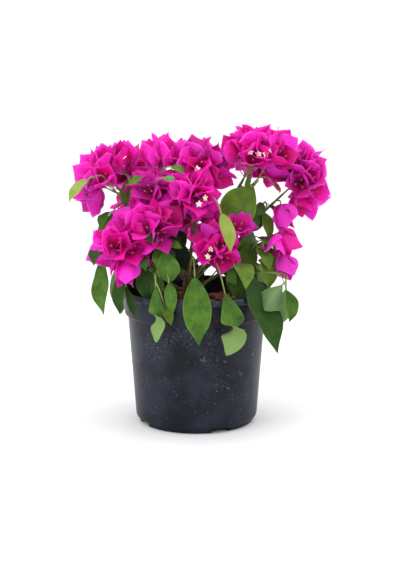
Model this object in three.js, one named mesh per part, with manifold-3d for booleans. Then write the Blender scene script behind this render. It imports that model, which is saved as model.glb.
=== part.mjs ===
// Potted bougainvillea: a young flowering shrub in a black nursery pot.
// Millimetres, +Z up, front towards -Y. The origin is the middle of the pot's flat underside.
import * as THREE from "three";
import { mergeVertices } from "three/addons/utils/BufferGeometryUtils.js";
import Module from "manifold-3d";

const wasm = await Module();
wasm.setup();

// Pot: a thin moulded shell that tapers to a short foot and has a deep band under a rolled lip
const POT_HEIGHT = 152;
const RIM_RADIUS = 85;
const BAND_HEIGHT = 30;
const BAND_FOOT_RADIUS = 81;
const BODY_TOP_RADIUS = 77.5;
const BODY_FOOT_RADIUS = 69;
const FOOT_RADIUS = 65;
const FOOT_HEIGHT = 5;
const WALL = 1.6;
const FLOOR = 2;
const LIP_HEIGHT = 4.5;
const LIP_WIDTH = 2.4;
const POT_SEGMENTS = 36;
const DRAIN_SLOTS = 4;
const DRAIN_WIDTH = 20;
const DRAIN_HEIGHT = 4;
const DRAIN_DEPTH = 9;
const DRAIN_BEARING = -65; // first slot, in degrees from +X

// Soil: fills the pot to a little under the lip, level round the trunk
const SOIL_DROP = 22; // lip to soil
const SOIL_FALL = 3; // centre to edge
const SOIL_LEVEL_RADIUS = 24;

// Trunk: short and woody, leaning a little, with a flared foot
const TRUNK_FOOT = [-12, 4];
const TRUNK_HEIGHT = 58;
const TRUNK_LEAN = [5, -2];
const TRUNK_RADIUS = 4.8;
const TRUNK_TIP_RADIUS = 3.4;
const TRUNK_FLARE = 3.2; // extra radius at the soil
const TRUNK_FLARE_HEIGHT = 9;
const FIRST_BUD = 10; // lowest limb above the soil
const BUD_STEP = 2.5; // height from one limb on the trunk to the next

// Limbs
const BOUGH_RADIUS = 2.1;
const BOUGH_TIP_RADIUS = 1.25;
const STEM_RADIUS = 1.1; // the stem inside a mass
const STEM_TIP_RADIUS = 0.6;
const TWIG_RADIUS = 0.75;
const TWIG_TIP_RADIUS = 0.6;
const RECEPTACLE_RADIUS = 1.2; // the swollen end of a flower's stalk
const BUD_ANGLE = 0.5; // share of rise in a limb's first direction
const SWEEP = 0.34; // length of a limb's curve handles, as a share of its span
const BESIDE_TIP = 0.94; // where the first shoot leaves a bough, as a share of its length
const BESIDE_STEP = 0.1; // from each shoot on a bough to the next

// Three bracts round each group of small flowers
const BRACT_LENGTH = 28;
const BRACT_WIDTH = 26;
const BRACT_OPENING = 36; // degrees from the flower's axis
const BRACT_FOLD = 0.12; // rise of a bract's margin for each mm of half width
const BRACT_OUTLINE = [[0.52, 1]];
const BRACTS = 3; // round each flower
const BRACT_CURL = 0.06; // outward curl of the tip

// Leaves: oval, drawn out to a point, folded a little along the midrib
const LEAF_WIDTH = 0.5; // of its length
const LEAF_FOLD = 0.3;
const LEAF_OUTLINE = [
  [0.3, 1],
  [0.68, 0.68],
];
const LEAF_SAG = 0.28; // drop of the tip as a share of the length
const PETIOLE = 0.16; // of the leaf's length
const LEAF_TURN = 0.3; // how far leaves at the crown's ends face sideways
const LEAF_SHORTEST = 34; // of the side leaves
const LEAF_LONGEST = 62;
const SHEET_THICKNESS = 0.022; // of the length of a leaf or bract

const CLEAR = 0.35; // gap between neighbouring solids
const SMALLEST_EDGE = 0.05; // smaller steps left by a join are smoothed away
const ATTEMPTS = 6; // turns tried to place a leaf or flower
const GOLDEN_TURN = Math.PI * (3 - Math.sqrt(5));
const UP = new THREE.Vector3(0, 0, 1);

const SOIL_TOP = POT_HEIGHT - SOIL_DROP;

// Masses of bracts. The bough of one with a bud starts there, counted up the trunk, or at the trunk's
// tip for the leader. The others grow from the tip of a neighbour's bough. lift turns flowers up or down.
const LEADER = "leader";
const BLOOMS = [
  { name: "left_low", bud: 4, centre: [-86, -46, 190], radii: [31, 28, 30], flowers: 22, lift: 0 },
  { name: "right_hanging", bud: 5, centre: [98, -10, 208], radii: [20, 20, 40], flowers: 10, lift: -0.7 },
  { name: "back", bud: 9, centre: [0, 80, 222], radii: [44, 29, 35], flowers: 12, lift: 0.3 },
  { name: "left_middle", bud: 10, centre: [-55, -42, 224], radii: [38, 28, 29], flowers: 26, lift: 0.2 },
  { name: "front", bud: 11, centre: [29, -54, 206], radii: [29, 25, 25], flowers: 18, lift: 0.2 },
  { name: "right_outer", bud: 12, centre: [124, 6, 272], radii: [27, 30, 42], flowers: 16, lift: 0.1 },
  { name: "left_tip", bud: 13, centre: [-110, -4, 286], radii: [28, 27, 23], flowers: 22, lift: 0.4 },
  {
    name: "left_end", bough: "left_tip", centre: [-119, -20, 255],
    radii: [23, 22, 19], flowers: 12, lift: -0.5,
  },
  { name: "back_left", bud: 14, centre: [-72, 62, 266], radii: [40, 35, 38], flowers: 13, lift: 0.4 },
  { name: "back_right", bud: 15, centre: [62, 68, 280], radii: [41, 35, 38], flowers: 13, lift: 0.4 },
  { name: "left_upper", bud: 16, centre: [-80, 8, 293], radii: [22, 27, 24], flowers: 18, lift: 0.5 },
  { name: "right_top", bud: 17, centre: [66, 0, 303], radii: [42, 34, 34], flowers: 20, lift: 0.4 },
  { name: "top", bud: 18, centre: [-40, 10, 294], radii: [33, 30, 26], flowers: 26, lift: 0.5 },
  {
    name: "left_inner", bough: "top", centre: [-54, -12, 260],
    radii: [24, 22, 19], flowers: 16, lift: 0.1,
  },
  { name: "centre", bud: LEADER, centre: [8, -6, 290], radii: [34, 31, 31], flowers: 26, lift: 0.4 },
  {
    name: "centre_low", bough: "centre", centre: [3, -32, 251],
    radii: [27, 24, 22], flowers: 18, lift: 0.1,
  },
];

// Masses of leaves. The shoot runs from the trunk, at its bud, or from the tip of a bough, to its end.
// The last leaf hangs from there to tip, and side leaves stand round the shoot.
const LEAVES = [
  { name: "front_left", bud: 0, end: [-44, -76, 180], tip: [-40, -97, 114], width: 0.26, side: 6 },
  { name: "right_low", bud: 1, end: [54, -52, 186], tip: [94, -72, 94], width: 0.38, side: 5 },
  { name: "back_low", bud: 2, end: [-16, 74, 186], tip: [-18, 100, 112], side: 6 },
  { name: "front", bud: 3, end: [-2, -86, 190], tip: [3, -98, 106], width: 0.4, side: 5 },
  { name: "back_right", bud: 6, end: [54, 58, 188], tip: [76, 82, 116], side: 7 },
  { name: "front_right", bud: 7, end: [25, -76, 184], tip: [47, -99, 103], width: 0.32, side: 5 },
  { name: "back_left", bud: 8, end: [-66, 46, 190], tip: [-94, 62, 120], side: 8 },
  {
    name: "left_low", bough: "left_low",
    end: [-99, -30, 193], tip: [-104, -42, 126], width: 0.34, side: 4,
  },
  {
    name: "left_front", bough: "left_low",
    end: [-84, -56, 186], tip: [-90, -66, 136], width: 0.34, side: 4,
  },
  {
    name: "left_middle", bough: "left_middle",
    end: [-37, -58, 208], tip: [-27, -68, 174], width: 0.66, side: 5,
  },
  { name: "left_upper", bough: "left_upper", end: [-74, -10, 277], tip: [-76, -18, 243], side: 3 },
  { name: "left_tip", bough: "left_tip", end: [-92, -16, 240], tip: [-107, -30, 212], side: 3 },
  { name: "left_end", bough: "left_tip", end: [-115, -26, 280], tip: [-140, -34, 258], side: 2 },
  { name: "top", bough: "top", end: [-48, -16, 278], tip: [-74, -26, 281], side: 4 },
  { name: "centre", bough: "centre", end: [27, -42, 250], tip: [43, -54, 208], width: 0.34, side: 4 },
  {
    name: "right_top", bough: "right_top",
    end: [67, -10, 271], tip: [32, -28, 238], width: 0.62, side: 4,
  },
  {
    name: "right_outer", bough: "right_outer",
    end: [75, -6, 249], tip: [57, -22, 222], width: 0.6, side: 3,
  },
  { name: "right_inner", bough: "right_hanging", end: [62, -10, 214], tip: [50, -22, 170], side: 4 },
  { name: "right_middle", bough: "right_hanging", end: [73, -28, 208], tip: [83, -38, 160], side: 4 },
  { name: "right_curl", bough: "right_hanging", end: [94, -24, 170], tip: [106, -36, 118], side: 4 },
];

/** A repeatable stream of numbers from 0 to 1. */
function seeded(seed) {
  let state = seed >>> 0;
  return () => {
    state = (state + 0x6d2b79f5) >>> 0;
    let mixed = Math.imul(state ^ (state >>> 15), state | 1);
    mixed ^= mixed + Math.imul(mixed ^ (mixed >>> 7), mixed | 61);
    return ((mixed ^ (mixed >>> 14)) >>> 0) / 2 ** 32;
  };
}

/** A geometry's closed surface as a solid. */
function solidOf(geometry) {
  geometry.deleteAttribute("normal");
  geometry.deleteAttribute("uv");
  const merged = mergeVertices(geometry);
  return new wasm.Manifold(
    new wasm.Mesh({
      numProp: 3,
      vertProperties: merged.attributes.position.array,
      triVerts: new Uint32Array(merged.index.array),
    }),
  );
}

/** A solid from its corner points and its triangles. */
function solidFromPoints(points, triangles) {
  return solidOf(new THREE.BufferGeometry().setFromPoints(points).setIndex(triangles.flat()));
}

/** A solid's surface as a geometry with flat-shaded normals. */
function geometryOf(solid) {
  const mesh = solid.getMesh();
  const geometry = new THREE.BufferGeometry();
  geometry.setAttribute("position", new THREE.BufferAttribute(mesh.vertProperties, mesh.numProp));
  geometry.setIndex(new THREE.BufferAttribute(mesh.triVerts, 1));
  geometry.computeVertexNormals();
  return geometry;
}

/** Joins solids into one body, without the scraps that didn't meet it and the hollows it sealed. */
function fuse(solids) {
  const bodies = wasm.Manifold.union(solids).simplify(SMALLEST_EDGE).decompose();
  return bodies.reduce((largest, body) => (body.volume() > largest.volume() ? body : largest));
}

/** A solid of revolution about +Z from [radius, height] pairs that run up the outside. */
function turned(profile) {
  const points = profile.map(([radius, height]) => new THREE.Vector2(radius, height));
  return solidOf(new THREE.LatheGeometry(points, POT_SEGMENTS).rotateX(Math.PI / 2));
}

/** A tapering limb: rings of radiusAt(share of its length) along a curve, with flat ends. */
function taperedLimb(curve, radiusAt, sides, steps) {
  const frames = curve.computeFrenetFrames(steps, false);
  const points = [];
  for (let ring = 0; ring <= steps; ring++) {
    const share = ring / steps;
    const middle = curve.getPointAt(share);
    for (let side = 0; side < sides; side++) {
      const angle = (2 * Math.PI * side) / sides;
      points.push(
        middle
          .clone()
          .addScaledVector(frames.normals[ring], radiusAt(share) * Math.cos(angle))
          .addScaledVector(frames.binormals[ring], radiusAt(share) * Math.sin(angle)),
      );
    }
  }
  const triangles = [];
  const last = steps * sides;
  for (let ring = 0; ring < steps; ring++) {
    for (let side = 0; side < sides; side++) {
      const here = ring * sides + side;
      const beside = ring * sides + ((side + 1) % sides);
      triangles.push([here, beside, here + sides], [beside, beside + sides, here + sides]);
    }
  }
  for (let side = 1; side < sides - 1; side++) {
    triangles.push([0, side + 1, side], [last, last + side, last + side + 1]);
  }
  return solidFromPoints(points, triangles);
}

/** The part of a vector that is square to an axis, at unit length. */
function squareTo(axis, vector) {
  return vector.clone().addScaledVector(axis, -vector.dot(axis)).normalize();
}

/** Collects the corners and triangles of one closed surface. */
class Skin {
  points = [];
  triangles = [];

  corner(point) {
    this.points.push(point);
    return this.points.length - 1;
  }

  faces(...triangles) {
    this.triangles.push(...triangles);
  }

  solid() {
    return solidFromPoints(this.points, this.triangles);
  }
}

/** Adds a three-sided stalk that runs from a point to a ring of corners, given with their spokes. */
function addStalk(skin, from, ring, spokes) {
  const foot = spokes.map((spoke) => skin.corner(from.clone().addScaledVector(spoke, TWIG_RADIUS)));
  ring.forEach((corner, index) => {
    const next = (index + 1) % ring.length;
    skin.faces([foot[index], foot[next], ring[next]], [foot[index], ring[next], corner]);
  });
  skin.faces([foot[0], foot[2], foot[1]]);
}

/**
 * Adds a leaf or bract without its root: a thin sheet, sharp at its margin and thickest at its midrib.
 * It runs from root in the direction along, with its hollow side towards face. outline holds
 * [share of the length, share of the half width] pairs, and sag moves the tip by a share of the length.
 * Returns the corners next to the root: left, right, above and below.
 */
function addSheet(skin, root, along, face, { length, width, outline, fold, sag }) {
  const side = along.clone().cross(face);
  const thickness = length * SHEET_THICKNESS;
  const rib = (share) => {
    const middle = root.clone().addScaledVector(along, length * share);
    return middle.addScaledVector(sag, length * share * share);
  };
  const tip = skin.corner(rib(1));
  const stations = outline.map(([share, wide]) => {
    const half = (width / 2) * wide;
    const lifted = rib(share).addScaledVector(face, fold * half);
    const margin = (sign) => lifted.clone().addScaledVector(side, sign * half);
    const ridge = (sign) => rib(share).addScaledVector(face, (sign * thickness) / 2);
    return [margin(1), margin(-1), ridge(1), ridge(-1)].map((point) => skin.corner(point));
  });
  for (let index = 0; index + 1 < stations.length; index++) {
    const [l, r, a, b] = stations[index];
    const [l2, r2, a2, b2] = stations[index + 1];
    skin.faces([l, l2, a2], [l, a2, a], [r, a, a2], [r, a2, r2]);
    skin.faces([l, b2, l2], [l, b, b2], [r, b2, b], [r, r2, b2]);
  }
  const [l, r, a, b] = stations[stations.length - 1];
  skin.faces([l, tip, a], [a, tip, r], [b, tip, l], [r, tip, b]);
  return stations[0];
}

/** A flower: bracts that open round an axis from the swollen end of its stalk. */
function flower(from, foot, axis, turn, size) {
  const skin = new Skin();
  const across = squareTo(axis, Math.abs(axis.z) > 0.8 ? new THREE.Vector3(1, 0, 0) : UP);
  const opening = THREE.MathUtils.degToRad(BRACT_OPENING);
  const apart = (2 * Math.PI) / BRACTS;
  const heading = foot.clone().sub(from).normalize();
  const rays = Array.from({ length: BRACTS }, (_, index) =>
    across.clone().applyAxisAngle(axis, turn + (index - 0.5) * apart),
  );
  const ring = rays.map((ray) => skin.corner(foot.clone().addScaledVector(ray, RECEPTACLE_RADIUS)));
  const heart = skin.corner(foot.clone().addScaledVector(axis, RECEPTACLE_RADIUS));
  addStalk(skin, from, ring, rays.map((ray) => squareTo(heading, ray)));
  for (let index = 0; index < BRACTS; index++) {
    const out = across.clone().applyAxisAngle(axis, turn + index * apart);
    const along = axis.clone().multiplyScalar(Math.cos(opening)).addScaledVector(out, Math.sin(opening));
    const face = axis.clone().multiplyScalar(Math.sin(opening)).addScaledVector(out, -Math.cos(opening));
    const [left, right, above, below] = addSheet(skin, foot, along, face, {
      length: BRACT_LENGTH * size,
      width: BRACT_WIDTH * size,
      outline: BRACT_OUTLINE,
      fold: BRACT_FOLD,
      sag: face.clone().multiplyScalar(-BRACT_CURL),
    });
    const here = ring[index];
    const next = ring[(index + 1) % BRACTS];
    skin.faces([heart, left, above], [heart, above, right], [heart, here, left], [heart, right, next]);
    skin.faces([here, below, left], [here, next, below], [next, right, below]);
  }
  return skin.solid();
}

/** A leaf from a point on the shoot in the direction along, with its whole stalk if full. */
function leaf(from, along, outward, [length, width], full) {
  const skin = new Skin();
  const root = from.clone().addScaledVector(along, length * PETIOLE);
  const face = squareTo(along, UP.clone().addScaledVector(outward, 1.2));
  const side = along.clone().cross(face);
  const spokes = [1, 0, -1].map((sign) =>
    side.clone().multiplyScalar(sign * 0.87).addScaledVector(face, sign === 0 ? -1 : 0.5),
  );
  const ring = spokes.map((spoke) => skin.corner(root.clone().addScaledVector(spoke, TWIG_TIP_RADIUS)));
  addStalk(skin, full ? from : from.clone().lerp(root, 0.8), ring, spokes);
  const [left, right, above, below] = addSheet(skin, root, along, face, {
    length: length * (1 - PETIOLE),
    width: length * width,
    outline: LEAF_OUTLINE,
    fold: LEAF_FOLD,
    sag: UP.clone().multiplyScalar(-LEAF_SAG * Math.hypot(along.x, along.y)),
  });
  const [ringLeft, ringBelow, ringRight] = ring;
  skin.faces([ringLeft, left, above], [ringLeft, above, ringRight], [ringRight, above, right]);
  skin.faces([ringBelow, below, left], [ringBelow, right, below]);
  skin.faces([ringBelow, left, ringLeft], [ringBelow, ringRight, right]);
  return skin.solid();
}

/** The pot: an even shell turned from its profile, with drain slots through the foot. */
function makePot() {
  const bandFoot = POT_HEIGHT - BAND_HEIGHT;
  const lipFoot = POT_HEIGHT - LIP_HEIGHT;
  const lipInner = RIM_RADIUS - LIP_WIDTH;
  const bandTop = RIM_RADIUS - 1.4;
  const outside = [
    [0, 0],
    [FOOT_RADIUS - 1.5, 0],
    [FOOT_RADIUS, 1.5],
    [FOOT_RADIUS, FOOT_HEIGHT],
    [BODY_FOOT_RADIUS - 0.6, FOOT_HEIGHT + 1.5],
    [BODY_FOOT_RADIUS, FOOT_HEIGHT + 3.5],
    [BODY_TOP_RADIUS, bandFoot - 1.5],
    [BAND_FOOT_RADIUS - 0.4, bandFoot - 0.5],
    [BAND_FOOT_RADIUS, bandFoot + 1],
    [bandTop, lipFoot - 2.5],
    [RIM_RADIUS, lipFoot],
    [RIM_RADIUS, POT_HEIGHT - 1.5],
    [RIM_RADIUS - 1, POT_HEIGHT],
  ];
  const inside = [
    [lipInner, POT_HEIGHT],
    [lipInner - 0.6, POT_HEIGHT - 1.5],
    [bandTop - WALL - 0.4, lipFoot - 2.5],
    [BAND_FOOT_RADIUS - WALL, bandFoot + 1],
    [BODY_TOP_RADIUS - WALL, bandFoot - 1.5],
    [BODY_FOOT_RADIUS - WALL, FOOT_HEIGHT + 3.5],
    [FOOT_RADIUS - WALL, FOOT_HEIGHT],
    [FOOT_RADIUS - WALL, FLOOR],
    [0, FLOOR],
  ];
  let pot = turned([...outside, ...inside]);
  for (let slot = 0; slot < DRAIN_SLOTS; slot++) {
    const bearing = THREE.MathUtils.degToRad(DRAIN_BEARING + (360 * slot) / DRAIN_SLOTS);
    const cut = new THREE.BoxGeometry(2 * DRAIN_DEPTH, DRAIN_WIDTH, 2 * DRAIN_HEIGHT);
    cut.translate(FOOT_RADIUS, 0, 0).rotateZ(bearing);
    pot = pot.subtract(solidOf(cut));
  }
  return pot;
}

/** The soil, clear of the pot's inside all round and level at the trunk's foot. */
function makeSoil() {
  const bandFoot = POT_HEIGHT - BAND_HEIGHT;
  const inset = WALL + CLEAR;
  return turned([
    [0, FLOOR + CLEAR],
    [FOOT_RADIUS - inset, FLOOR + CLEAR],
    [FOOT_RADIUS - inset, FOOT_HEIGHT + CLEAR],
    [BODY_FOOT_RADIUS - inset, FOOT_HEIGHT + 3.5 + CLEAR],
    [BODY_TOP_RADIUS - inset, bandFoot - 1.5 + CLEAR],
    [BAND_FOOT_RADIUS - inset, bandFoot + 1 + CLEAR],
    [BAND_FOOT_RADIUS - inset, SOIL_TOP - SOIL_FALL],
    [(BAND_FOOT_RADIUS + SOIL_LEVEL_RADIUS) / 2, SOIL_TOP - SOIL_FALL / 3],
    [SOIL_LEVEL_RADIUS, SOIL_TOP],
    [0, SOIL_TOP],
  ]);
}

/** The trunk's line and radius: upright at the soil, then leaning, with a flare at its foot. */
function trunkLimb() {
  const [x, y] = TRUNK_FOOT;
  const [leanX, leanY] = TRUNK_LEAN;
  const foot = SOIL_TOP + CLEAR;
  const curve = new THREE.CubicBezierCurve3(
    new THREE.Vector3(x, y, foot),
    new THREE.Vector3(x, y, foot + TRUNK_HEIGHT * 0.35),
    new THREE.Vector3(x + leanX * 0.3, y + leanY * 0.3, foot + TRUNK_HEIGHT * 0.65),
    new THREE.Vector3(x + leanX, y + leanY, foot + TRUNK_HEIGHT),
  );
  const radiusAt = (share) =>
    THREE.MathUtils.lerp(TRUNK_RADIUS, TRUNK_TIP_RADIUS, share) +
    TRUNK_FLARE * Math.exp((-share * TRUNK_HEIGHT) / TRUNK_FLARE_HEIGHT);
  return { curve, radiusAt };
}

/**
 * A limb that buds from the side of another, or from its end, and sweeps to a point.
 * It starts clear of its parent and arrives in the direction arrive.
 */
function sweepingLimb(parent, share, end, arrive, [radius, tipRadius]) {
  const axis = parent.curve.getTangentAt(share);
  const middle = parent.curve.getPointAt(share);
  const atEnd = share === 1;
  const out = atEnd ? axis : squareTo(axis, end.clone().sub(middle));
  const gap = CLEAR + (atEnd ? 0 : parent.radiusAt(share));
  const start = middle.clone().addScaledVector(out, gap);
  const span = start.distanceTo(end);
  const bud = start.clone().addScaledVector(out, radius * 2);
  const rise = out.clone().addScaledVector(axis, atEnd ? 0 : BUD_ANGLE).normalize();
  const curve = new THREE.CatmullRomCurve3([
    start,
    bud,
    ...new THREE.CubicBezierCurve3(
      bud,
      bud.clone().addScaledVector(rise, span * SWEEP),
      end.clone().addScaledVector(arrive, -span * SWEEP),
      end,
    )
      .getPoints(5)
      .slice(1),
  ]);
  return { curve, radiusAt: (t) => THREE.MathUtils.lerp(radius, tipRadius, t) };
}

/** How far up the trunk a numbered bud is, as a share of its height. */
function budShare(bud) {
  return bud === LEADER ? 1 : (FIRST_BUD + bud * BUD_STEP) / TRUNK_HEIGHT;
}

/** The distance from an ellipsoid's middle to its surface in a direction. */
function reach(radii, direction) {
  return 1 / Math.hypot(...direction.toArray().map((part, axis) => part / radii[axis]));
}

/** The bough that carries a mass of bracts, from its bud on the trunk to the mouth of the mass. */
function boughTo(bloom, trunk) {
  const centre = new THREE.Vector3(...bloom.centre);
  const share = budShare(bloom.bud);
  const inward = centre.clone().sub(trunk.curve.getPointAt(share)).normalize();
  const mouth = centre.clone().addScaledVector(inward, -0.8 * reach(bloom.radii, inward));
  return sweepingLimb(trunk, share, mouth, inward, [BOUGH_RADIUS, BOUGH_TIP_RADIUS]);
}

/** The stem of a mass of bracts, which runs on from a bough's tip, or from beside it, into its heart. */
function stemInto(bloom, bough, share) {
  const centre = new THREE.Vector3(...bloom.centre);
  const inward = centre.clone().sub(bough.curve.getPointAt(1)).normalize();
  const heart = centre.clone().addScaledVector(inward, 0.25 * reach(bloom.radii, inward));
  return sweepingLimb(bough, share, heart, inward, [STEM_RADIUS, STEM_TIP_RADIUS]);
}

/** The flowers of a mass: spread evenly over its outside, each on a stalk from the stem. */
function* bloomFlowers(bloom, stem, random) {
  const centre = new THREE.Vector3(...bloom.centre);
  const inward = stem.curve.getTangentAt(1);
  const phase = random() * 2 * Math.PI;
  for (let index = 0; index < bloom.flowers; index++) {
    const height = 1 - (2 * (index + 0.5)) / bloom.flowers;
    const angle = phase + index * GOLDEN_TURN;
    const flat = Math.sqrt(1 - height * height);
    const out = new THREE.Vector3(flat * Math.cos(angle), flat * Math.sin(angle), height);
    const lift = bloom.lift + 0.3 * (random() - 0.5);
    const turn = random() * 2 * Math.PI;
    const size = 0.9 + 0.22 * random();
    if (out.dot(inward) < -0.8) continue;
    const far = reach(bloom.radii, out);
    const foot = centre.clone().addScaledVector(out, Math.max(far - BRACT_LENGTH * 0.72, far * 0.2));
    const start = stem.curve.getPointAt(THREE.MathUtils.clamp(0.55 + 0.4 * out.dot(inward), 0.15, 0.95));
    const heading = foot.clone().sub(start).normalize();
    const axis = out.clone().addScaledVector(UP, lift).addScaledVector(heading, 0.6).normalize();
    yield (attempt, full) => {
      const from = full ? start : foot.clone().lerp(start, 0.2);
      return flower(from, foot, axis, turn + attempt * 0.6, size * (1 - attempt * 0.09));
    };
  }
}

/** The level way that a shoot's leaves turn their upper sides: out from the trunk, to front or back. */
function outwardOf(mass) {
  const [x, y] = mass.tip;
  return new THREE.Vector3((x - TRUNK_FOOT[0]) * LEAF_TURN, y - TRUNK_FOOT[1], 0).normalize();
}

/** The last leaf of a shoot, which hangs from the shoot's end to a given tip. */
function* lastLeaf(mass, shoot) {
  const sunk = shoot.curve.getPointAt(0.97);
  const drop = new THREE.Vector3(...mass.tip).sub(sunk);
  const along = drop.clone().normalize();
  const width = mass.width ?? LEAF_WIDTH;
  yield (attempt, full) => {
    const length = drop.length() * (1 - attempt * 0.06);
    return leaf(sunk, along, outwardOf(mass), [length, width], full);
  };
}

/** The side leaves of a shoot, set round it by turns. */
function* sideLeaves(mass, shoot, random) {
  const outward = outwardOf(mass);
  const span = shoot.curve.getPointAt(1).distanceTo(new THREE.Vector3(...mass.tip));
  const phase = random() * 2 * Math.PI;
  for (let index = 0; index < mass.side; index++) {
    const share = 0.92 - (0.5 * index) / mass.side;
    const axis = shoot.curve.getTangentAt(share);
    const droop = 0.2 + 0.7 * random();
    const size = THREE.MathUtils.clamp(span * (0.6 + 0.3 * random()), LEAF_SHORTEST, LEAF_LONGEST);
    yield (attempt, full) => {
      const around = squareTo(axis, UP).applyAxisAngle(axis, phase + index * GOLDEN_TURN + attempt);
      const along = around
        .addScaledVector(axis, 0.45)
        .addScaledVector(outward, 0.3)
        .addScaledVector(UP, -droop)
        .normalize();
      const length = size * (1 - attempt * 0.08);
      return leaf(shoot.curve.getPointAt(share), along, outward, [length, LEAF_WIDTH], full);
    };
  }
}

const PALETTE = {
  pot: new THREE.MeshStandardMaterial({ color: 0x2a2d34, roughness: 0.55, metalness: 0 }),
  soil: new THREE.MeshStandardMaterial({ color: 0x4a3222, roughness: 1, metalness: 0 }),
  bark: new THREE.MeshStandardMaterial({ color: 0x6f6048, roughness: 0.9, metalness: 0 }),
  bract: new THREE.MeshStandardMaterial({ color: 0xdc1fa0, roughness: 0.6, metalness: 0 }),
  leaf: new THREE.MeshStandardMaterial({ color: 0x4c7a2c, roughness: 0.5, metalness: 0 }),
};

const plant = new THREE.Group();
const placed = [];

/** Adds a named solid to the plant. */
function add(name, solid, material) {
  const mesh = new THREE.Mesh(geometryOf(solid), material);
  mesh.name = name;
  plant.add(mesh);
}

/** Notes where a piece of a node stands, so that later pieces keep clear of it. */
function claim(node, solid, sheets = null) {
  placed.push({ node, solid, sheets });
}

/** Whether a solid keeps a distance from all the others. */
function clearOf(solid, others, distance) {
  const { min, max } = solid.boundingBox();
  return others.every((other) => {
    const box = other.boundingBox();
    const near = min.every((low, axis) => low < box.max[axis] + CLEAR && max[axis] > box.min[axis] - CLEAR);
    return !near || solid.minGap(other, 2 * CLEAR) > distance;
  });
}

/**
 * Grows pieces on a mass's stem. One that would touch another node, or whose sheets would touch
 * those of its own node, turns aside or is left out.
 */
function grow(node, pieces) {
  for (const piece of pieces) {
    for (let attempt = 0; attempt < ATTEMPTS; attempt++) {
      const whole = piece(attempt, true);
      const sheets = piece(attempt, false);
      const strangers = placed.filter((other) => other.node !== node).map((other) => other.solid);
      const own = placed.filter((other) => other.node === node && other.sheets);
      const siblings = own.map((other) => other.sheets);
      if (clearOf(whole, strangers, CLEAR) && clearOf(sheets, siblings, CLEAR / 4)) {
        claim(node, whole, sheets);
        break;
      }
    }
  }
}

const pot = makePot();
const soil = makeSoil();
const trunk = trunkLimb();
const trunkSolid = taperedLimb(trunk.curve, trunk.radiusAt, 10, 8);
claim("pot", pot);
claim("soil", soil);
claim("trunk", trunkSolid);
add("pot", pot, PALETTE.pot);
add("soil", soil, PALETTE.soil);
add("trunk", trunkSolid, PALETTE.bark);

// All limbs stand before any flower or leaf, so that none grows through a limb.
const boughs = new Map();
for (const bloom of BLOOMS.filter((row) => row.bud !== undefined)) {
  const bough = boughTo(bloom, trunk);
  const solid = taperedLimb(bough.curve, bough.radiusAt, 5, 7);
  boughs.set(bloom.name, bough);
  claim(`bough_${bloom.name}`, solid);
  add(`bough_${bloom.name}`, solid, PALETTE.bark);
}
const shootsOn = new Map();

/** Where the next shoot leaves a bough, each a step further from the bough's tip. */
function besideTip(bough) {
  const taken = shootsOn.get(bough) ?? 0;
  shootsOn.set(bough, taken + 1);
  return BESIDE_TIP - taken * BESIDE_STEP;
}

const stems = new Map();
for (const bloom of BLOOMS) {
  const share = bloom.bough ? besideTip(bloom.bough) : 1;
  const stem = stemInto(bloom, boughs.get(bloom.bough ?? bloom.name), share);
  stems.set(bloom.name, stem);
  claim(`bloom_${bloom.name}`, taperedLimb(stem.curve, stem.radiusAt, 3, 3));
}
const shoots = new Map();
for (const mass of LEAVES) {
  const parent = mass.bough ? boughs.get(mass.bough) : trunk;
  const share = mass.bough ? besideTip(mass.bough) : budShare(mass.bud);
  const end = new THREE.Vector3(...mass.end);
  const arrive = new THREE.Vector3(...mass.tip).sub(end).normalize();
  const shoot = sweepingLimb(parent, share, end, arrive, [STEM_RADIUS, STEM_TIP_RADIUS]);
  const stem = taperedLimb(shoot.curve, shoot.radiusAt, 3, 6);
  shoots.set(mass.name, shoot);
  claim(`leaves_${mass.name}`, stem);
}

for (const mass of LEAVES) {
  grow(`leaves_${mass.name}`, lastLeaf(mass, shoots.get(mass.name)));
}
BLOOMS.forEach((bloom, index) => {
  grow(`bloom_${bloom.name}`, bloomFlowers(bloom, stems.get(bloom.name), seeded(2000 + index)));
});
LEAVES.forEach((mass, index) => {
  grow(`leaves_${mass.name}`, sideLeaves(mass, shoots.get(mass.name), seeded(1000 + index)));
});

const masses = [
  ...BLOOMS.map(({ name }) => [`bloom_${name}`, PALETTE.bract]),
  ...LEAVES.map(({ name }) => [`leaves_${name}`, PALETTE.leaf]),
];
for (const [node, material] of masses) {
  const pieces = placed.filter((piece) => piece.node === node).map((piece) => piece.solid);
  add(node, fuse(pieces), material);
}

export default plant;
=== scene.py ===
"""Looks of a potted bougainvillea: papery bracts, waxy leaves, bark, potting mix and a moulded nursery pot.

Sizes are millimetres in the frame of the solids, +Z up with the front towards -Y, and meshes are in metres.
"""

import logging
import math
from collections.abc import Callable, Iterator
from dataclasses import dataclass, field, replace
from enum import Enum, IntEnum
from functools import partial
from typing import NamedTuple

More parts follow.
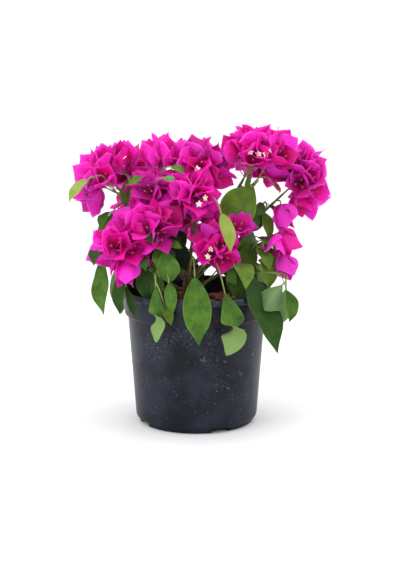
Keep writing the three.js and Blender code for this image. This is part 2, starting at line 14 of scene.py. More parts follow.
import bmesh
import bpy
import numpy as np
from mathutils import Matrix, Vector


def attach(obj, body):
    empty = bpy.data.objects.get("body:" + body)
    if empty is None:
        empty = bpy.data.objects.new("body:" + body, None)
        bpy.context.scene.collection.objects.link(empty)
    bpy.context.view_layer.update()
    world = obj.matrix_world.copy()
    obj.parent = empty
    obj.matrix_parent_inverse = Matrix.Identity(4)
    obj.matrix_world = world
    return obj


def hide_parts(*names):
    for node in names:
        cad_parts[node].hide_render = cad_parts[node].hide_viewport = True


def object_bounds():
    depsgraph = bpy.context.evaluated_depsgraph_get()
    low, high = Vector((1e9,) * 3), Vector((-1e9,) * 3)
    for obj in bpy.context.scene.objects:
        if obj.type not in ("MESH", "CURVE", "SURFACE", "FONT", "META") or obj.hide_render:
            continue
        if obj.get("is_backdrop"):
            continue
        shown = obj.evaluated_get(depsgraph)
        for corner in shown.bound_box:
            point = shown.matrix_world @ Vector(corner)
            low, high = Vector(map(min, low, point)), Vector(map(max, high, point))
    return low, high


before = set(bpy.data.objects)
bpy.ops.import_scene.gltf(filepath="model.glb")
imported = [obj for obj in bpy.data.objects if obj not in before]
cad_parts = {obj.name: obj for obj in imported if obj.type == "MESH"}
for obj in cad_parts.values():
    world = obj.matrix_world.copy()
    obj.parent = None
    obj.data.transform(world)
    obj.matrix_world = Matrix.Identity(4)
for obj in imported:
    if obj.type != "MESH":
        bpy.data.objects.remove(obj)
CAD_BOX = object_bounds()

LOG = logging.getLogger("bougainvillea")
METRE = 0.001  # one millimetre in metres
FULL_TURN = 2 * math.pi
GOLDEN_TURN = math.pi * (3 - math.sqrt(5))
UP = np.array([0.0, 0.0, 1.0])
SIDEWAYS = np.array([1.0, 0.0, 0.0])
STEEP = 0.8  # height of a unit vector past which up is no guide to its sides
EYE = np.array([4.0, -1400.0, 408.0])  # where the photograph was taken from
CLEAR = 0.35  # gap between neighbouring solids
Array = np.ndarray
Triple = tuple[float, float, float]
Socket = bpy.types.NodeSocket
Inputs = dict[str | int, object]
AddNode = Callable[..., Socket]


def linear(hex_colour: str) -> tuple[float, float, float, float]:
    """Turns an sRGB hex colour into linear light.

    Args:
        hex_colour: six hex digits after a hash sign.

    Returns:
        Red, green, blue and a full alpha.
    """
    parts = np.array([int(hex_colour[place : place + 2], 16) / 255 for place in (1, 3, 5)])
    light = np.where(parts <= 0.04045, parts / 12.92, ((parts + 0.055) / 1.055) ** 2.4)
    return (*light.tolist(), 1.0)


def per_mm(size: float) -> float:
    """The scale of a pattern on Object coordinates whose features are size millimetres apart."""
    return 1 / (size * METRE)


def unit(vectors: Array) -> Array:
    """Vectors at unit length."""
    return vectors / (np.linalg.norm(vectors, axis=-1, keepdims=True) + 1e-12)


def square_to(axis: Array, vectors: Array) -> Array:
    """The part of each vector that is square to its axis, at unit length."""
    return unit(vectors - axis * np.sum(vectors * axis, axis=-1, keepdims=True))


def across_of(axis: Array) -> Array:
    """A way square to each axis: towards up, or sideways where the axis is steep."""
    return square_to(axis, np.where(np.abs(axis[:, 2:]) > STEEP, SIDEWAYS, UP))


def turned_about(vectors: Array, axis: Array, angle: Array | float) -> Array:
    """Turns vectors that are square to a unit axis by an angle in radians."""
    angle = np.asarray(angle)[..., None]
    return vectors * np.cos(angle) + np.cross(axis, vectors) * np.sin(angle)


def bump(distance: Array) -> Array:
    """A smooth hump that is 1 at no distance and falls off like a bell."""
    return np.exp(-(distance**2))


def eased(value: Array, start: float, end: float) -> Array:
    """Goes from 0 at start to 1 at end with no slope at either, 3 times the square less twice the cube."""
    share = np.clip((value - start) / (end - start), 0, 1)
    return share * share * (3 - 2 * share)


class Stream:
    """A repeatable stream of numbers from 0 to 1, the same one as the solids grow by."""

    MASK = 0xFFFFFFFF
    STEP = 0x6D2B79F5

    def __init__(self, seed: int) -> None:
        """Starts the stream at a seed."""
        self.state = seed & self.MASK

    def __call__(self) -> float:
        """Steps the state and mixes its bits.

        Returns:
            The next number.
        """
        self.state = (self.state + self.STEP) & self.MASK
        mixed = ((self.state ^ self.state >> 15) * (self.state | 1)) & self.MASK
        mixed ^= (mixed + ((mixed ^ mixed >> 7) * (mixed | 61))) & self.MASK
        return (mixed ^ mixed >> 14) / 2**32


# Shader nodes and finishes
# A Map Range node takes its value at 0, what it comes from at 1 and 2, and what it goes to at 3 and 4.
# A Mix node takes its share at 0 and its two colours at 6 and 7, and gives their mix at 2.


def feed(tree: bpy.types.NodeTree, node: bpy.types.Node, inputs: Inputs) -> None:
    """Sets a value, or links a socket, at each named or numbered input of a node.

    Args:
        tree: the node tree.
        node: the node.
        inputs: a value, or a socket to link from, for each input.
    """
    for name, value in inputs.items():
        if isinstance(value, Socket):
            tree.links.new(value, node.inputs[name])
        else:
            node.inputs[name].default_value = value


def add_node(
    tree: bpy.types.NodeTree, kind: str, inputs: Inputs, out: str | int = 0, **settings: object
) -> Socket:
    """Adds a shader node with its settings and links.

    Args:
        tree: the node tree.
        kind: the node's type, without the prefix that shader nodes share.
        inputs: a value, or a socket to link from, for each named or numbered input.
        out: the name or number of the wanted output.
        settings: the node's own properties.

    Returns:
        The wanted output.
    """
    node = tree.nodes.new(f"ShaderNode{kind}")
    for name, value in settings.items():
        setattr(node, name, value)
    feed(tree, node, inputs)
    return node.outputs[out]


class Surface(NamedTuple):
    """What a finish gives its shader: a ground colour, coats over it by share, and other inputs."""

    ground: str
    coats: list[tuple[Socket, str]]
    inputs: Inputs


@dataclass(frozen=True)
class Finish:
    """A finish, named for the real material. Each kind of finish gives its own surface."""

    name: str

    def make(self) -> bpy.types.Material:
        """Lays the coats over the ground, one after the other, and sets up a shader.

        Returns:
            The material.
        """
        material = bpy.data.materials.new(self.name)
        material.use_nodes = True
        tree = material.node_tree
        add = partial(add_node, tree)
        surface = self.surface(add)
        colour = linear(surface.ground)
        for share, over in surface.coats:
            colour = add("Mix", {0: share, 6: colour, 7: linear(over)}, 2, data_type="RGBA")
        feed(tree, tree.nodes["Principled BSDF"], {"Base Color": colour, **surface.inputs})
        return material

    def surface(self, add: AddNode) -> Surface:
        """What the finish gives its shader, from nodes that add makes in the material's tree."""
        raise NotImplementedError

    @staticmethod
    def patches(
        add: AddNode,
        size: float,
        span: tuple[float, float],
        most: float = 1,
        detail: float = 3,
        stretch: Triple = (1, 1, 1),
    ) -> Socket:
        """Cloudy patches on Object coordinates.

        Args:
            add: makes a node.
            size: patch size in millimetres.
            span: the values of the noise that are spread smoothly from 0 to most.
            most: the highest value.
            detail: layers of finer patches.
            stretch: how much longer patches are along each axis.

        Returns:
            A socket from 0 to most.
        """
        scale = tuple(1 / part for part in stretch)
        place = add("Mapping", {"Vector": add("TexCoord", {}, "Object"), "Scale": scale})
        look = {"Scale": per_mm(size), "Detail": detail, "Roughness": 0.6}
        noise = add("TexNoise", {"Vector": place, **look})
        spread = {0: noise, 1: span[0], 2: span[1], 4: most}
        return add("MapRange", spread, interpolation_type="SMOOTHSTEP")


@dataclass(frozen=True)
class MouldedPolyethylene(Finish):
    """Black nursery pot plastic: satin and blue-black, mottled by hard water, with dust specks and scuffs.

    Grit, specks and scuffs are drawn a little coarser than real ones, so that they show.
    """

    name: str = "moulded_black_polyethylene"
    base: str = "#0d1118"
    # blue clouds over the black: partly a real haze on the plastic, partly painted sheen
    film_and_sheen: str = "#212734"
    stain: str = "#626874"
    speck: str = "#b4b8c0"
    # painted highlight, in patches along the lip
    lip_highlight: str = "#3c4556"
    belt_foot: float = 30
    belt_top: float = 118
    belt_least: float = 0.15
    band_foot: float = 125
    band_shade: float = 3
    band_share: float = 0.2
    # where the painted highlight on the lip begins
    lip_foot: float = 145.5
    lip_blend: tuple[float, float] = (0.5, 2)
    film_and_sheen_size: float = 36
    lip_highlight_size: float = 26
    stain_size: float = 28
    grit_size: float = 1.8
    speck_gap: float = 6.5
    speck_edge: tuple[float, float] = (0.03, 0.08)
    net_size: float = 6
    net_width: float = 0.07
    mark_share: float = 0.5
    scuff_size: float = 15
    skin_size: float = 7
    skin_depth: float = 0.12
    roughness: tuple[float, float] = (0.34, 0.45)
    specular: float = 0.16

    def surface(self, add: AddNode) -> Surface:
        """A blue haze in wide clouds that is partly painted sheen, a painted highlight in patches along the
        lip, grit that gathers under the band, round specks and netted scuffs.

        Args:
            add: makes a node.

        Returns:
            The ground, the coats and the other inputs.
        """
        place = add("TexCoord", {}, "Object")
        height = add("SeparateXYZ", {0: place}, "Z")
        rising = {1: self.belt_foot * METRE, 2: self.belt_top * METRE, 3: self.belt_least}
        lower = add("MapRange", {0: height, **rising})
        under_band = (self.band_foot - self.band_shade) * METRE
        ending = {1: under_band, 2: self.band_foot * METRE, 3: 1.0, 4: self.band_share}
        upper = add("MapRange", {0: height, **ending})
        belt = add("Math", {0: lower, 1: upper}, operation="MULTIPLY")
        # blue clouds, partly painted sheen
        film_and_sheen = self.patches(add, self.film_and_sheen_size, (0.34, 0.7), 0.8)
        below, above = self.lip_blend
        edge = {1: (self.lip_foot - below) * METRE, 2: (self.lip_foot + above) * METRE}
        lip = add("MapRange", {0: height, **edge})
        # painted highlight: paler patches along the rolled lip
        lip_highlight_share = self.patches(add, self.lip_highlight_size, (0.42, 0.64), 0.9)
        lip_highlight_share = add("Math", {0: lip, 1: lip_highlight_share}, operation="MULTIPLY")
        cloud = self.patches(add, self.stain_size, (0.4, 0.72), detail=5)
        grit = self.patches(add, self.grit_size, (0.46, 0.7), 0.55, detail=4)
        stains = add("Math", {0: cloud, 1: belt}, operation="MULTIPLY")
        stains = add("Math", {0: stains, 1: grit}, operation="MULTIPLY")
        middles = add("TexVoronoi", {"Vector": place, "Scale": per_mm(self.speck_gap)}, "Distance")
        dots = {1: self.speck_edge[0], 2: self.speck_edge[1], 3: self.mark_share, 4: 0.0}
        specks = add("MapRange", {0: middles, **dots})
        net = {"Vector": place, "Scale": per_mm(self.net_size)}
        edges = add("TexVoronoi", net, "Distance", feature="DISTANCE_TO_EDGE")
        scuffs = add("MapRange", {0: edges, 1: 0.0, 2: self.net_width, 3: self.mark_share, 4: 0.0})
        scuffed = self.patches(add, self.scuff_size, (0.6, 0.7))
        scuffs = add("Math", {0: scuffs, 1: scuffed}, operation="MULTIPLY")
        scuffs = add("Math", {0: scuffs, 1: belt}, operation="MULTIPLY")
        marks = add("Math", {0: specks, 1: scuffs}, operation="MAXIMUM")
        rough = add("MapRange", {0: cloud, 3: self.roughness[0], 4: self.roughness[1]})
        relief = self.patches(add, self.skin_size, (0.2, 0.8), stretch=(1, 1, 2))
        skin = add("Bump", {"Height": relief, "Distance": self.skin_depth * METRE, "Strength": 0.35})
        coats = [(film_and_sheen, self.film_and_sheen), (lip_highlight_share, self.lip_highlight), (stains, self.stain), (marks, self.speck)]
        inputs = {"Roughness": rough, "Specular IOR Level": self.specular, "Normal": skin}
        return Surface(self.base, coats, inputs)


@dataclass(frozen=True)
class PottingMix(Finish):
    """Damp peat and bark: nearly black crumbs a few millimetres across with brown fibres, quite matt."""

    name: str = "damp_potting_mix"
    dark: str = "#1f1611"
    brown: str = "#4b3323"
    crumb_size: float = 5
    grain_size: float = 2.5
    depth: float = 1.2
    roughness: float = 0.95

    def surface(self, add: AddNode) -> Surface:
        """Two browns by crumb, with a rough relief.

        Args:
            add: makes a node.

        Returns:
            The ground, the coats and the other inputs.
        """
        crumbs = self.patches(add, self.crumb_size, (0.4, 0.7), detail=6)
        relief = self.patches(add, self.grain_size, (0.2, 0.8), detail=5)
        skin = add("Bump", {"Height": relief, "Distance": self.depth * METRE, "Strength": 0.9})
        return Surface(self.dark, [(crumbs, self.brown)], {"Roughness": self.roughness, "Normal": skin})


@dataclass(frozen=True)
class TwoTone(Finish):
    """A matt living or dead skin whose base colour goes over to a second one in cloudy patches."""

    base: str
    other: str
    size: float
    span: tuple[float, float]
    most: float = 1
    stretch: Triple = (1, 1, 1)
    roughness: float = 0.9
    detail: float = 4

    def surface(self, add: AddNode) -> Surface:
        """The two colours by patch.

        Args:
            add: makes a node.

        Returns:
            The ground, the coats and the other inputs.
        """
        share = self.patches(add, self.size, self.span, self.most, self.detail, self.stretch)
        return Surface(self.base, [(share, self.other)], {"Roughness": self.roughness})


@dataclass(frozen=True)
class WoodyBark(Finish):
    """Young bark: grey-brown and corky, split by furrows that run up the limb, with paler patches."""

    ridge: str
    furrow: str
    patch: str = "#8d8368"
    grain: float = 2.4
    patch_size: float = 14
    depth: float = 0.3
    roughness: float = 0.85

    def surface(self, add: AddNode) -> Surface:
        """Ridges and furrows a few millimetres apart, in colour and relief.

        Args:
            add: makes a node.

        Returns:
            The ground, the coats and the other inputs.
        """
        ridges = self.patches(add, self.grain, (0.36, 0.64), detail=5, stretch=(1, 1, 4))
        pale = self.patches(add, self.patch_size, (0.45, 0.7), 0.3, 2, (1, 1, 2))
        skin = add("Bump", {"Height": ridges, "Distance": self.depth * METRE, "Strength": 0.6})
        coats = [(ridges, self.ridge), (pale, self.patch)]
        return Surface(self.furrow, coats, {"Roughness": self.roughness, "Normal": skin})


@dataclass(frozen=True)
class Blade(Finish):
    """A thin living sheet with veins on its own map, where U runs across it and V along it.

    Side veins are fewer and broader than real ones, so that they show.
    """

    base: str
    vein: str
    shade: str
    # the colour laid towards the foot as painted shade
    foot: str
    roughness: float
    specular: float
    side_veins: float
    vein_share: float
    margin_share: float
    foot_shade_share: float
    crease: float
    glow: float = 0
    glow_depth: float = 1.5
    glow_radius: Triple = (1, 0.3, 0.6)
    cloud_size: float = 11
    crease_size: float = 6
    rib_height: float = 0.3
    midrib: float = 0.035
    slant: float = 0.75
    side_width: float = 0.22
    side_strength: float = 0.6
    margin: tuple[float, float] = (0.455, 0.495)
    foot_shade_top: float = 0.6

    def surface(self, add: AddNode) -> Surface:
        """A midrib, side veins that slant from it to the tip, a margin, soft clouds and painted shade at
        the foot.

        Ribs and creases stand up from the sheet, and light that goes through a thin one is given as
        scattering under its skin.

        Args:
            add: makes a node.

        Returns:
            The ground, the coats and the other inputs.
        """
        across = add("SeparateXYZ", {0: add("TexCoord", {}, "UV")}, "X")
        along = across.node.outputs["Y"]
        off = add("Math", {0: across, 1: 0.5}, operation="SUBTRACT")
        off = add("Math", {0: off}, operation="ABSOLUTE")
        midrib = add("MapRange", {0: off, 2: self.midrib, 3: 1.0, 4: 0.0}, interpolation_type="SMOOTHSTEP")
        back = add("Math", {0: off, 1: self.slant}, operation="MULTIPLY")
        slant = add("Math", {0: along, 1: back}, operation="SUBTRACT")
        turns = add("Math", {0: slant, 1: self.side_veins * 2}, operation="MULTIPLY")
        wave = add("Math", {0: turns, 1: 1.0}, operation="PINGPONG")
        across_side = {0: wave, 2: self.side_width, 3: self.side_strength, 4: 0.0}
        side = add("MapRange", across_side, interpolation_type="SMOOTHSTEP")
        ribs = add("Math", {0: midrib, 1: side}, operation="MAXIMUM")
        edge = {0: off, 1: self.margin[0], 2: self.margin[1], 4: self.margin_share}
        margin = add("MapRange", edge, interpolation_type="SMOOTHSTEP")
        lines = add("Math", {0: ribs, 1: self.vein_share}, operation="MULTIPLY")
        lines = add("Math", {0: lines, 1: margin}, operation="MAXIMUM")
        # painted shade: the sheet darkens towards its foot, where the flower or the crown shades it
        foot_shade_span = {0: along, 2: self.foot_shade_top, 3: self.foot_shade_share, 4: 0.0}
        low = add("MapRange", foot_shade_span, interpolation_type="SMOOTHSTEP")
        clouds = self.patches(add, self.cloud_size, (0.35, 0.7), 0.7)
        creases = self.patches(add, self.crease_size, (0.25, 0.75), detail=4)
        relief = add("Math", {0: creases, 1: self.crease, 2: ribs}, operation="MULTIPLY_ADD")
        inputs = {
            "Normal": add("Bump", {"Height": relief, "Distance": self.rib_height * METRE, "Strength": 0.5}),
            "Roughness": self.roughness,
            "Specular IOR Level": self.specular,
            "Subsurface Weight": self.glow,
            "Subsurface Scale": self.glow_depth * METRE,
            "Subsurface Radius": self.glow_radius,
        }
        coats = [(clouds, self.shade), (lines, self.vein), (low, self.foot)]
        return Surface(self.base, coats, inputs)


@dataclass(frozen=True)
class PaperyBract(Blade):
    """A bract as thin as tissue paper: matt, creased and veined, and bright where light comes through."""

    roughness: float = 0.62
    specular: float = 0.2
    side_veins: float = 7
    vein_share: float = 0.4
    margin_share: float = 0.5
    foot_shade_share: float = 0.8
    crease: float = 4
    glow: float = 0.45


@dataclass(frozen=True)
class WaxyLeaf(Blade):
    """A leaf's smooth skin: a soft shine above and matt below, with faint pale veins."""

    roughness: float = 0.45
    specular: float = 0.1
    side_veins: float = 6
    vein_share: float = 0.13
    margin_share: float = 0.3
    foot_shade_share: float = 0.5
    crease: float = 2


# painted shade for the throat of a flower
THROAT_SHADE = "#94073a"  # the depth of a flower, where little light comes


class BractTint(Enum):
    """Tints of the bracts, as outside, inside, vein and shade colours."""

    BRIGHT = ("#f932cc", "#e41298", "#dc16a8", "#f024b8")
    ROSE = ("#f42cc0", "#d60c88", "#d01296", "#e820ac")
    DEEP = ("#e6199a", "#c40a72", "#ba0b78", "#d21288")
    VIOLET = ("#d42cb0", "#b8157f", "#aa1888", "#c0229c")

    def outside(self) -> PaperyBract:
        """The outer face: papery and matt, and lighter than the inner face, partly as painted light."""
        outer, _, vein, shade = self.value
        return self.face("outside", outer, vein, shade, shade)

    def inside(self) -> PaperyBract:
        """The inner face: deeper in colour, partly as painted shade, and with painted shade darkest in the
        throat.
        """
        _, inner, vein, _ = self.value
        return self.face("inside", inner, vein, vein, THROAT_SHADE)

    def face(self, side: str, *colours: str) -> PaperyBract:
        """One face in its colours."""
        return PaperyBract(f"papery_bract_{self.name.lower()}_{side}", *colours)


class LeafTint(Enum):
    """Tints of the leaves, as upper side, underside, vein and shade colours."""

    FRESH = ("#4d7128", "#708d50", "#8ca85c", "#2c4c15")
    DARK = ("#2d4a1b", "#657d4c", "#5f7936", "#203613")
    OLIVE = ("#567125", "#83955a", "#8d9e55", "#3c5318")
    YOUNG = ("#8b9b48", "#a6b568", "#b0c067", "#758738")
    SAGE = ("#4f8426", "#607c4f", "#98b478", "#3f6d1c")
    SHADED = ("#111f0a", "#2f4122", "#2c401b", "#0b1507")

    def upper(self) -> WaxyLeaf:
        """The upper side: waxy, with a soft shine."""
        upper, _, vein, shade = self.value
        return self.face("upper", upper, vein, shade, shade)

    def under(self) -> WaxyLeaf:
        """The underside: paler and matt."""
        _, under, vein, _ = self.value
        return replace(self.face("underside", under, vein, under, under), roughness=0.6)

    def face(self, side: str, *colours: str) -> WaxyLeaf:
        """One side in its colours."""
        return WaxyLeaf(f"waxy_leaf_{self.name.lower()}_{side}", *colours)


# Meshes


class GridMesh:
    """Collects grids of points into one mesh, with a map and a finish for each grid."""

    WELD = 1e-7  # metres within which points are one
    SHARP = math.radians(110)  # margins of thin sheets turn by more

    def __init__(self) -> None:
        """Starts with no points."""
        self.points: list[Array] = []
        self.quads: list[Array] = []
        self.places: list[Array] = []
        self.finishes: list[Array] = []
        self.count = 0

    def add(
        self, points: Array, finish: Array | int = 0, around: bool = False, inside_out: bool = False
    ) -> None:
        """Adds a stack of grids.

        Args:
            points: stack by rows by columns by 3, in millimetres.
            finish: the number of each grid's finish, or one for all.
            around: whether the columns close on themselves.
            inside_out: whether the faces turn round.
        """
        stack, rows, columns = points.shape[:3]
        steps = columns if around else columns - 1
        row, column = np.meshgrid(np.arange(rows - 1), np.arange(steps), indexing="ij")
        beside = (column + 1) % columns
        quad = np.stack([row * columns + column, row * columns + beside], axis=-1)
        quad = np.concatenate([quad, quad[..., ::-1] + columns], axis=-1).reshape(-1, 4)
        if inside_out:
            quad = quad[:, [0, 3, 2, 1]]
        starts = self.count + np.arange(stack) * rows * columns
        along, across = np.meshgrid(np.linspace(0, 1, rows), np.linspace(0, 1, columns), indexing="ij")
        place = np.stack([across, along], axis=-1).reshape(-1, 2)
        self.points.append(points.reshape(-1, 3))
        self.quads.append((quad[None] + starts[:, None, None]).reshape(-1, 4))
        self.places.append(np.tile(place, (stack, 1)))
        self.finishes.append(np.repeat(np.broadcast_to(finish, stack), len(quad)))
        self.count += points.size // 3

    def add_sheets(self, middle: Array, thickness: float, finish: Array, under: Array) -> None:
        """Adds thin closed sheets: two layers that swell apart from their shared margins.

        The layers lie half a thickness each way along the normal, times 1 - v squared across the sheet
        and a half sine along it.

        Args:
            middle: stack by rows by columns by 3, the middle surface in millimetres.
            thickness: the most that the layers lie apart.
            finish: the number of each sheet's finish on the side its normal points to.
            under: the same for the other side.
        """
        normal = unit(np.cross(np.gradient(middle, axis=2), np.gradient(middle, axis=1)))
        rows, columns = middle.shape[1:3]
        across = 1 - np.linspace(-1, 1, columns) ** 2
        along = np.sin(np.pi * np.linspace(0, 1, rows))
        along[-1] = 0
        apart = (along[:, None] * across)[None, :, :, None] * normal * thickness / 2
        self.add(middle + apart, finish)
        self.add(middle - apart, under, inside_out=True)

    def make(
        self, name: str, finishes: list[Finish], slot: str | None = None, nodes: list[str] | None = None
    ) -> bpy.types.Object:
        """Makes the object, welds its seams and poles, rides it on the plant and hides the solids it stands
        for.

        Args:
            name: the piece's name.
            finishes: the finishes that the grids' numbers count.
            slot: a material slot that is not recorded; none marks the stage, which isn't ridden on the
                plant.
            nodes: the solids that the piece stands for.

        Returns:
            The new object.
        """
        points = np.concatenate(self.points).astype(np.float32) * METRE
        quads = np.concatenate(self.quads).astype(np.int32)
        places = np.concatenate(self.places).astype(np.float32)
        mesh = bpy.data.meshes.new(name)
        mesh.vertices.add(len(points))
        mesh.vertices.foreach_set("co", points.ravel())
        mesh.loops.add(quads.size)
        mesh.loops.foreach_set("vertex_index", quads.ravel())
        mesh.polygons.add(len(quads))
        mesh.polygons.foreach_set("loop_start", np.arange(len(quads), dtype=np.int32) * 4)
        mesh.polygons.foreach_set("material_index", np.concatenate(self.finishes).astype(np.int32))
        mesh.polygons.foreach_set("use_smooth", np.ones(len(quads), dtype=bool))
        mesh.uv_layers.new(name="Surface").data.foreach_set("uv", places[quads.ravel()].ravel())
        mesh.validate()
        form = bmesh.new()
        form.from_mesh(mesh)
        bmesh.ops.remove_doubles(form, verts=form.verts, dist=self.WELD)
        form.to_mesh(mesh)
        form.free()
        mesh.set_sharp_from_angle(angle=self.SHARP)
        for finish in finishes:
            mesh.materials.append(finish.make())
        piece = bpy.data.objects.new(name, mesh)
        bpy.context.scene.collection.objects.link(piece)
        if slot is not None:
            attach(piece, "root")
        if nodes:
            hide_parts(*nodes)
        LOG.info("%s: %d faces", name, len(mesh.polygons))
        return piece


def revolved(profile: Array, segments: int) -> Array:
    """Turns a profile of radius and height about +Z.

    Args:
        profile: rows of [radius, height].
        segments: steps round the axis.

    Returns:
        One grid: radius times cosine and sine of the bearing, with the height.
    """
    bearing = np.linspace(0, FULL_TURN, segments, endpoint=False)
    radius = profile[:, :1]
    height = np.broadcast_to(profile[:, 1:], (len(profile), segments))
    return np.stack([radius * np.cos(bearing), radius * np.sin(bearing), height], axis=-1)[None]


def tubes(middle: Array, radii: Array, sides: int, relief: Array | float = 0) -> Array:
    """Closed tubes round lines: rings of a radius square to each line, with a point at both ends.

    Args:
        middle: stack by points by 3.
        radii: stack by points.
        sides: corners of a ring.
        relief: rise of the skin as a share of the radius, stack by points by sides.

    Returns:
        Stack by points + 2 by sides by 3.
    """
    heading = unit(np.gradient(middle, axis=1))
    lean = np.abs(heading).max(axis=1)
    reference = np.eye(3)[np.argmin(lean, axis=1)][:, None]
    normal = unit(np.cross(np.broadcast_to(reference, heading.shape), heading))
    beside = np.cross(heading, normal)
    angle = np.linspace(0, FULL_TURN, sides, endpoint=False)[:, None]
    spokes = normal[:, :, None] * np.cos(angle) + beside[:, :, None] * np.sin(angle)
    reach = radii[..., None] * (1 + np.broadcast_to(relief, (*radii.shape, sides)))
    rings = middle[:, :, None] + spokes * reach[..., None]
    ends = np.repeat(middle[:, [0, -1], None], sides, axis=2)
    return np.concatenate([ends[:, :1], rings, ends[:, 1:]], axis=1)


# Lines of the limbs


def between(points: Array, places: Array, wanted: Array | float) -> Array:
    """Points at wanted places on a line, straight between its own points and their places."""
    return np.stack([np.interp(wanted, places, points[:, axis]) for axis in range(3)], axis=-1)


def evenly(points: Array, count: int) -> Array:
    """Points an even distance apart along a line of points."""
    length = np.concatenate([[0], np.cumsum(np.linalg.norm(np.diff(points, axis=0), axis=1))])
    return between(points, length, np.linspace(0, length[-1], count))


def bezier(corners: list[Array], count: int) -> Array:
    """Points on a cubic curve between its first and last corner, pulled by the other two.

    Args:
        corners: four points, weighed by the cubes and products of t and 1 - t.
        count: how many points to give.

    Returns:
        count rows of 3.
    """
    t = np.linspace(0, 1, count)[:, None]
    first, second, third, last = corners
    return (1 - t) ** 3 * first + 3 * t * (1 - t) ** 2 * second + 3 * t * t * (1 - t) * third + t**3 * last


def smooth_line(knots: Array, steps: int = 16) -> Array:
    """A smooth line through knots, of cubics whose slopes weigh the neighbours by the root of the gaps.

    Args:
        knots: the points to pass through.
        steps: points for each stretch between two knots.

    Returns:
        The line's points.
    """
    ends = [2 * knots[0] - knots[1], 2 * knots[-1] - knots[-2]]
    full = np.vstack([ends[0], knots, ends[1]])
    gap = np.sqrt(np.linalg.norm(np.diff(full, axis=0), axis=1))[:, None] + 1e-9
    slope = np.diff(full, axis=0) / gap
    twice = (full[2:] - full[:-2]) / (gap[1:] + gap[:-1])
    pull = slope[:-1] - twice + slope[1:]
    t = np.linspace(0, 1, steps, endpoint=False)[None, :, None]
    here, there = knots[:-1, None], knots[1:, None]
    leave, arrive = (pull[:-1] * gap[1:-1])[:, None], (pull[1:] * gap[1:-1])[:, None]
    line = (2 * t**3 - 3 * t**2 + 1) * here + (t**3 - 2 * t**2 + t) * leave
    line = line + (3 * t**2 - 2 * t**3) * there + (t**3 - t**2) * arrive
    return np.vstack([line.reshape(-1, 3), knots[-1:]])


class Limb:
    """A limb's line as points an even distance apart, with its radius at each."""

    COUNT = 121
    STEP = 0.01  # share of the length each way that a direction is taken over

    def __init__(self, line: Array, radius_at: Callable[[Array], Array]) -> None:
        """Lays the limb along a line, with its radius by share of the length."""
        self.points = evenly(line, self.COUNT)
        self.radius_at = radius_at

    def at(self, share: Array | float) -> Array:
        """The point at a share of the length."""
        return between(self.points, np.arange(self.COUNT), np.clip(share, 0, 1) * (self.COUNT - 1))

    def heading(self, share: float) -> Array:
        """The direction at a share of the length."""
        return unit(self.at(min(share + self.STEP, 1)) - self.at(max(share - self.STEP, 0)))

    @staticmethod
    def lines(limbs: list["Limb"], rings: int) -> tuple[Array, Array]:
        """Middle lines and radii of limbs, for tubes.

        Args:
            limbs: the limbs.
            rings: points along each.

        Returns:
            The lines, limbs by rings by 3, and the radii, limbs by rings.
        """
        share = np.linspace(0, 1, rings)
        radii = [limb.radius_at(share) for limb in limbs]
        return np.stack([limb.at(share) for limb in limbs]), np.stack(radii)


def tapering(foot: float, tip: float) -> Callable[[Array], Array]:
    """A radius that goes evenly from foot to tip."""
    return lambda share: foot + (tip - foot) * np.asarray(share)


# The pot and what fills it


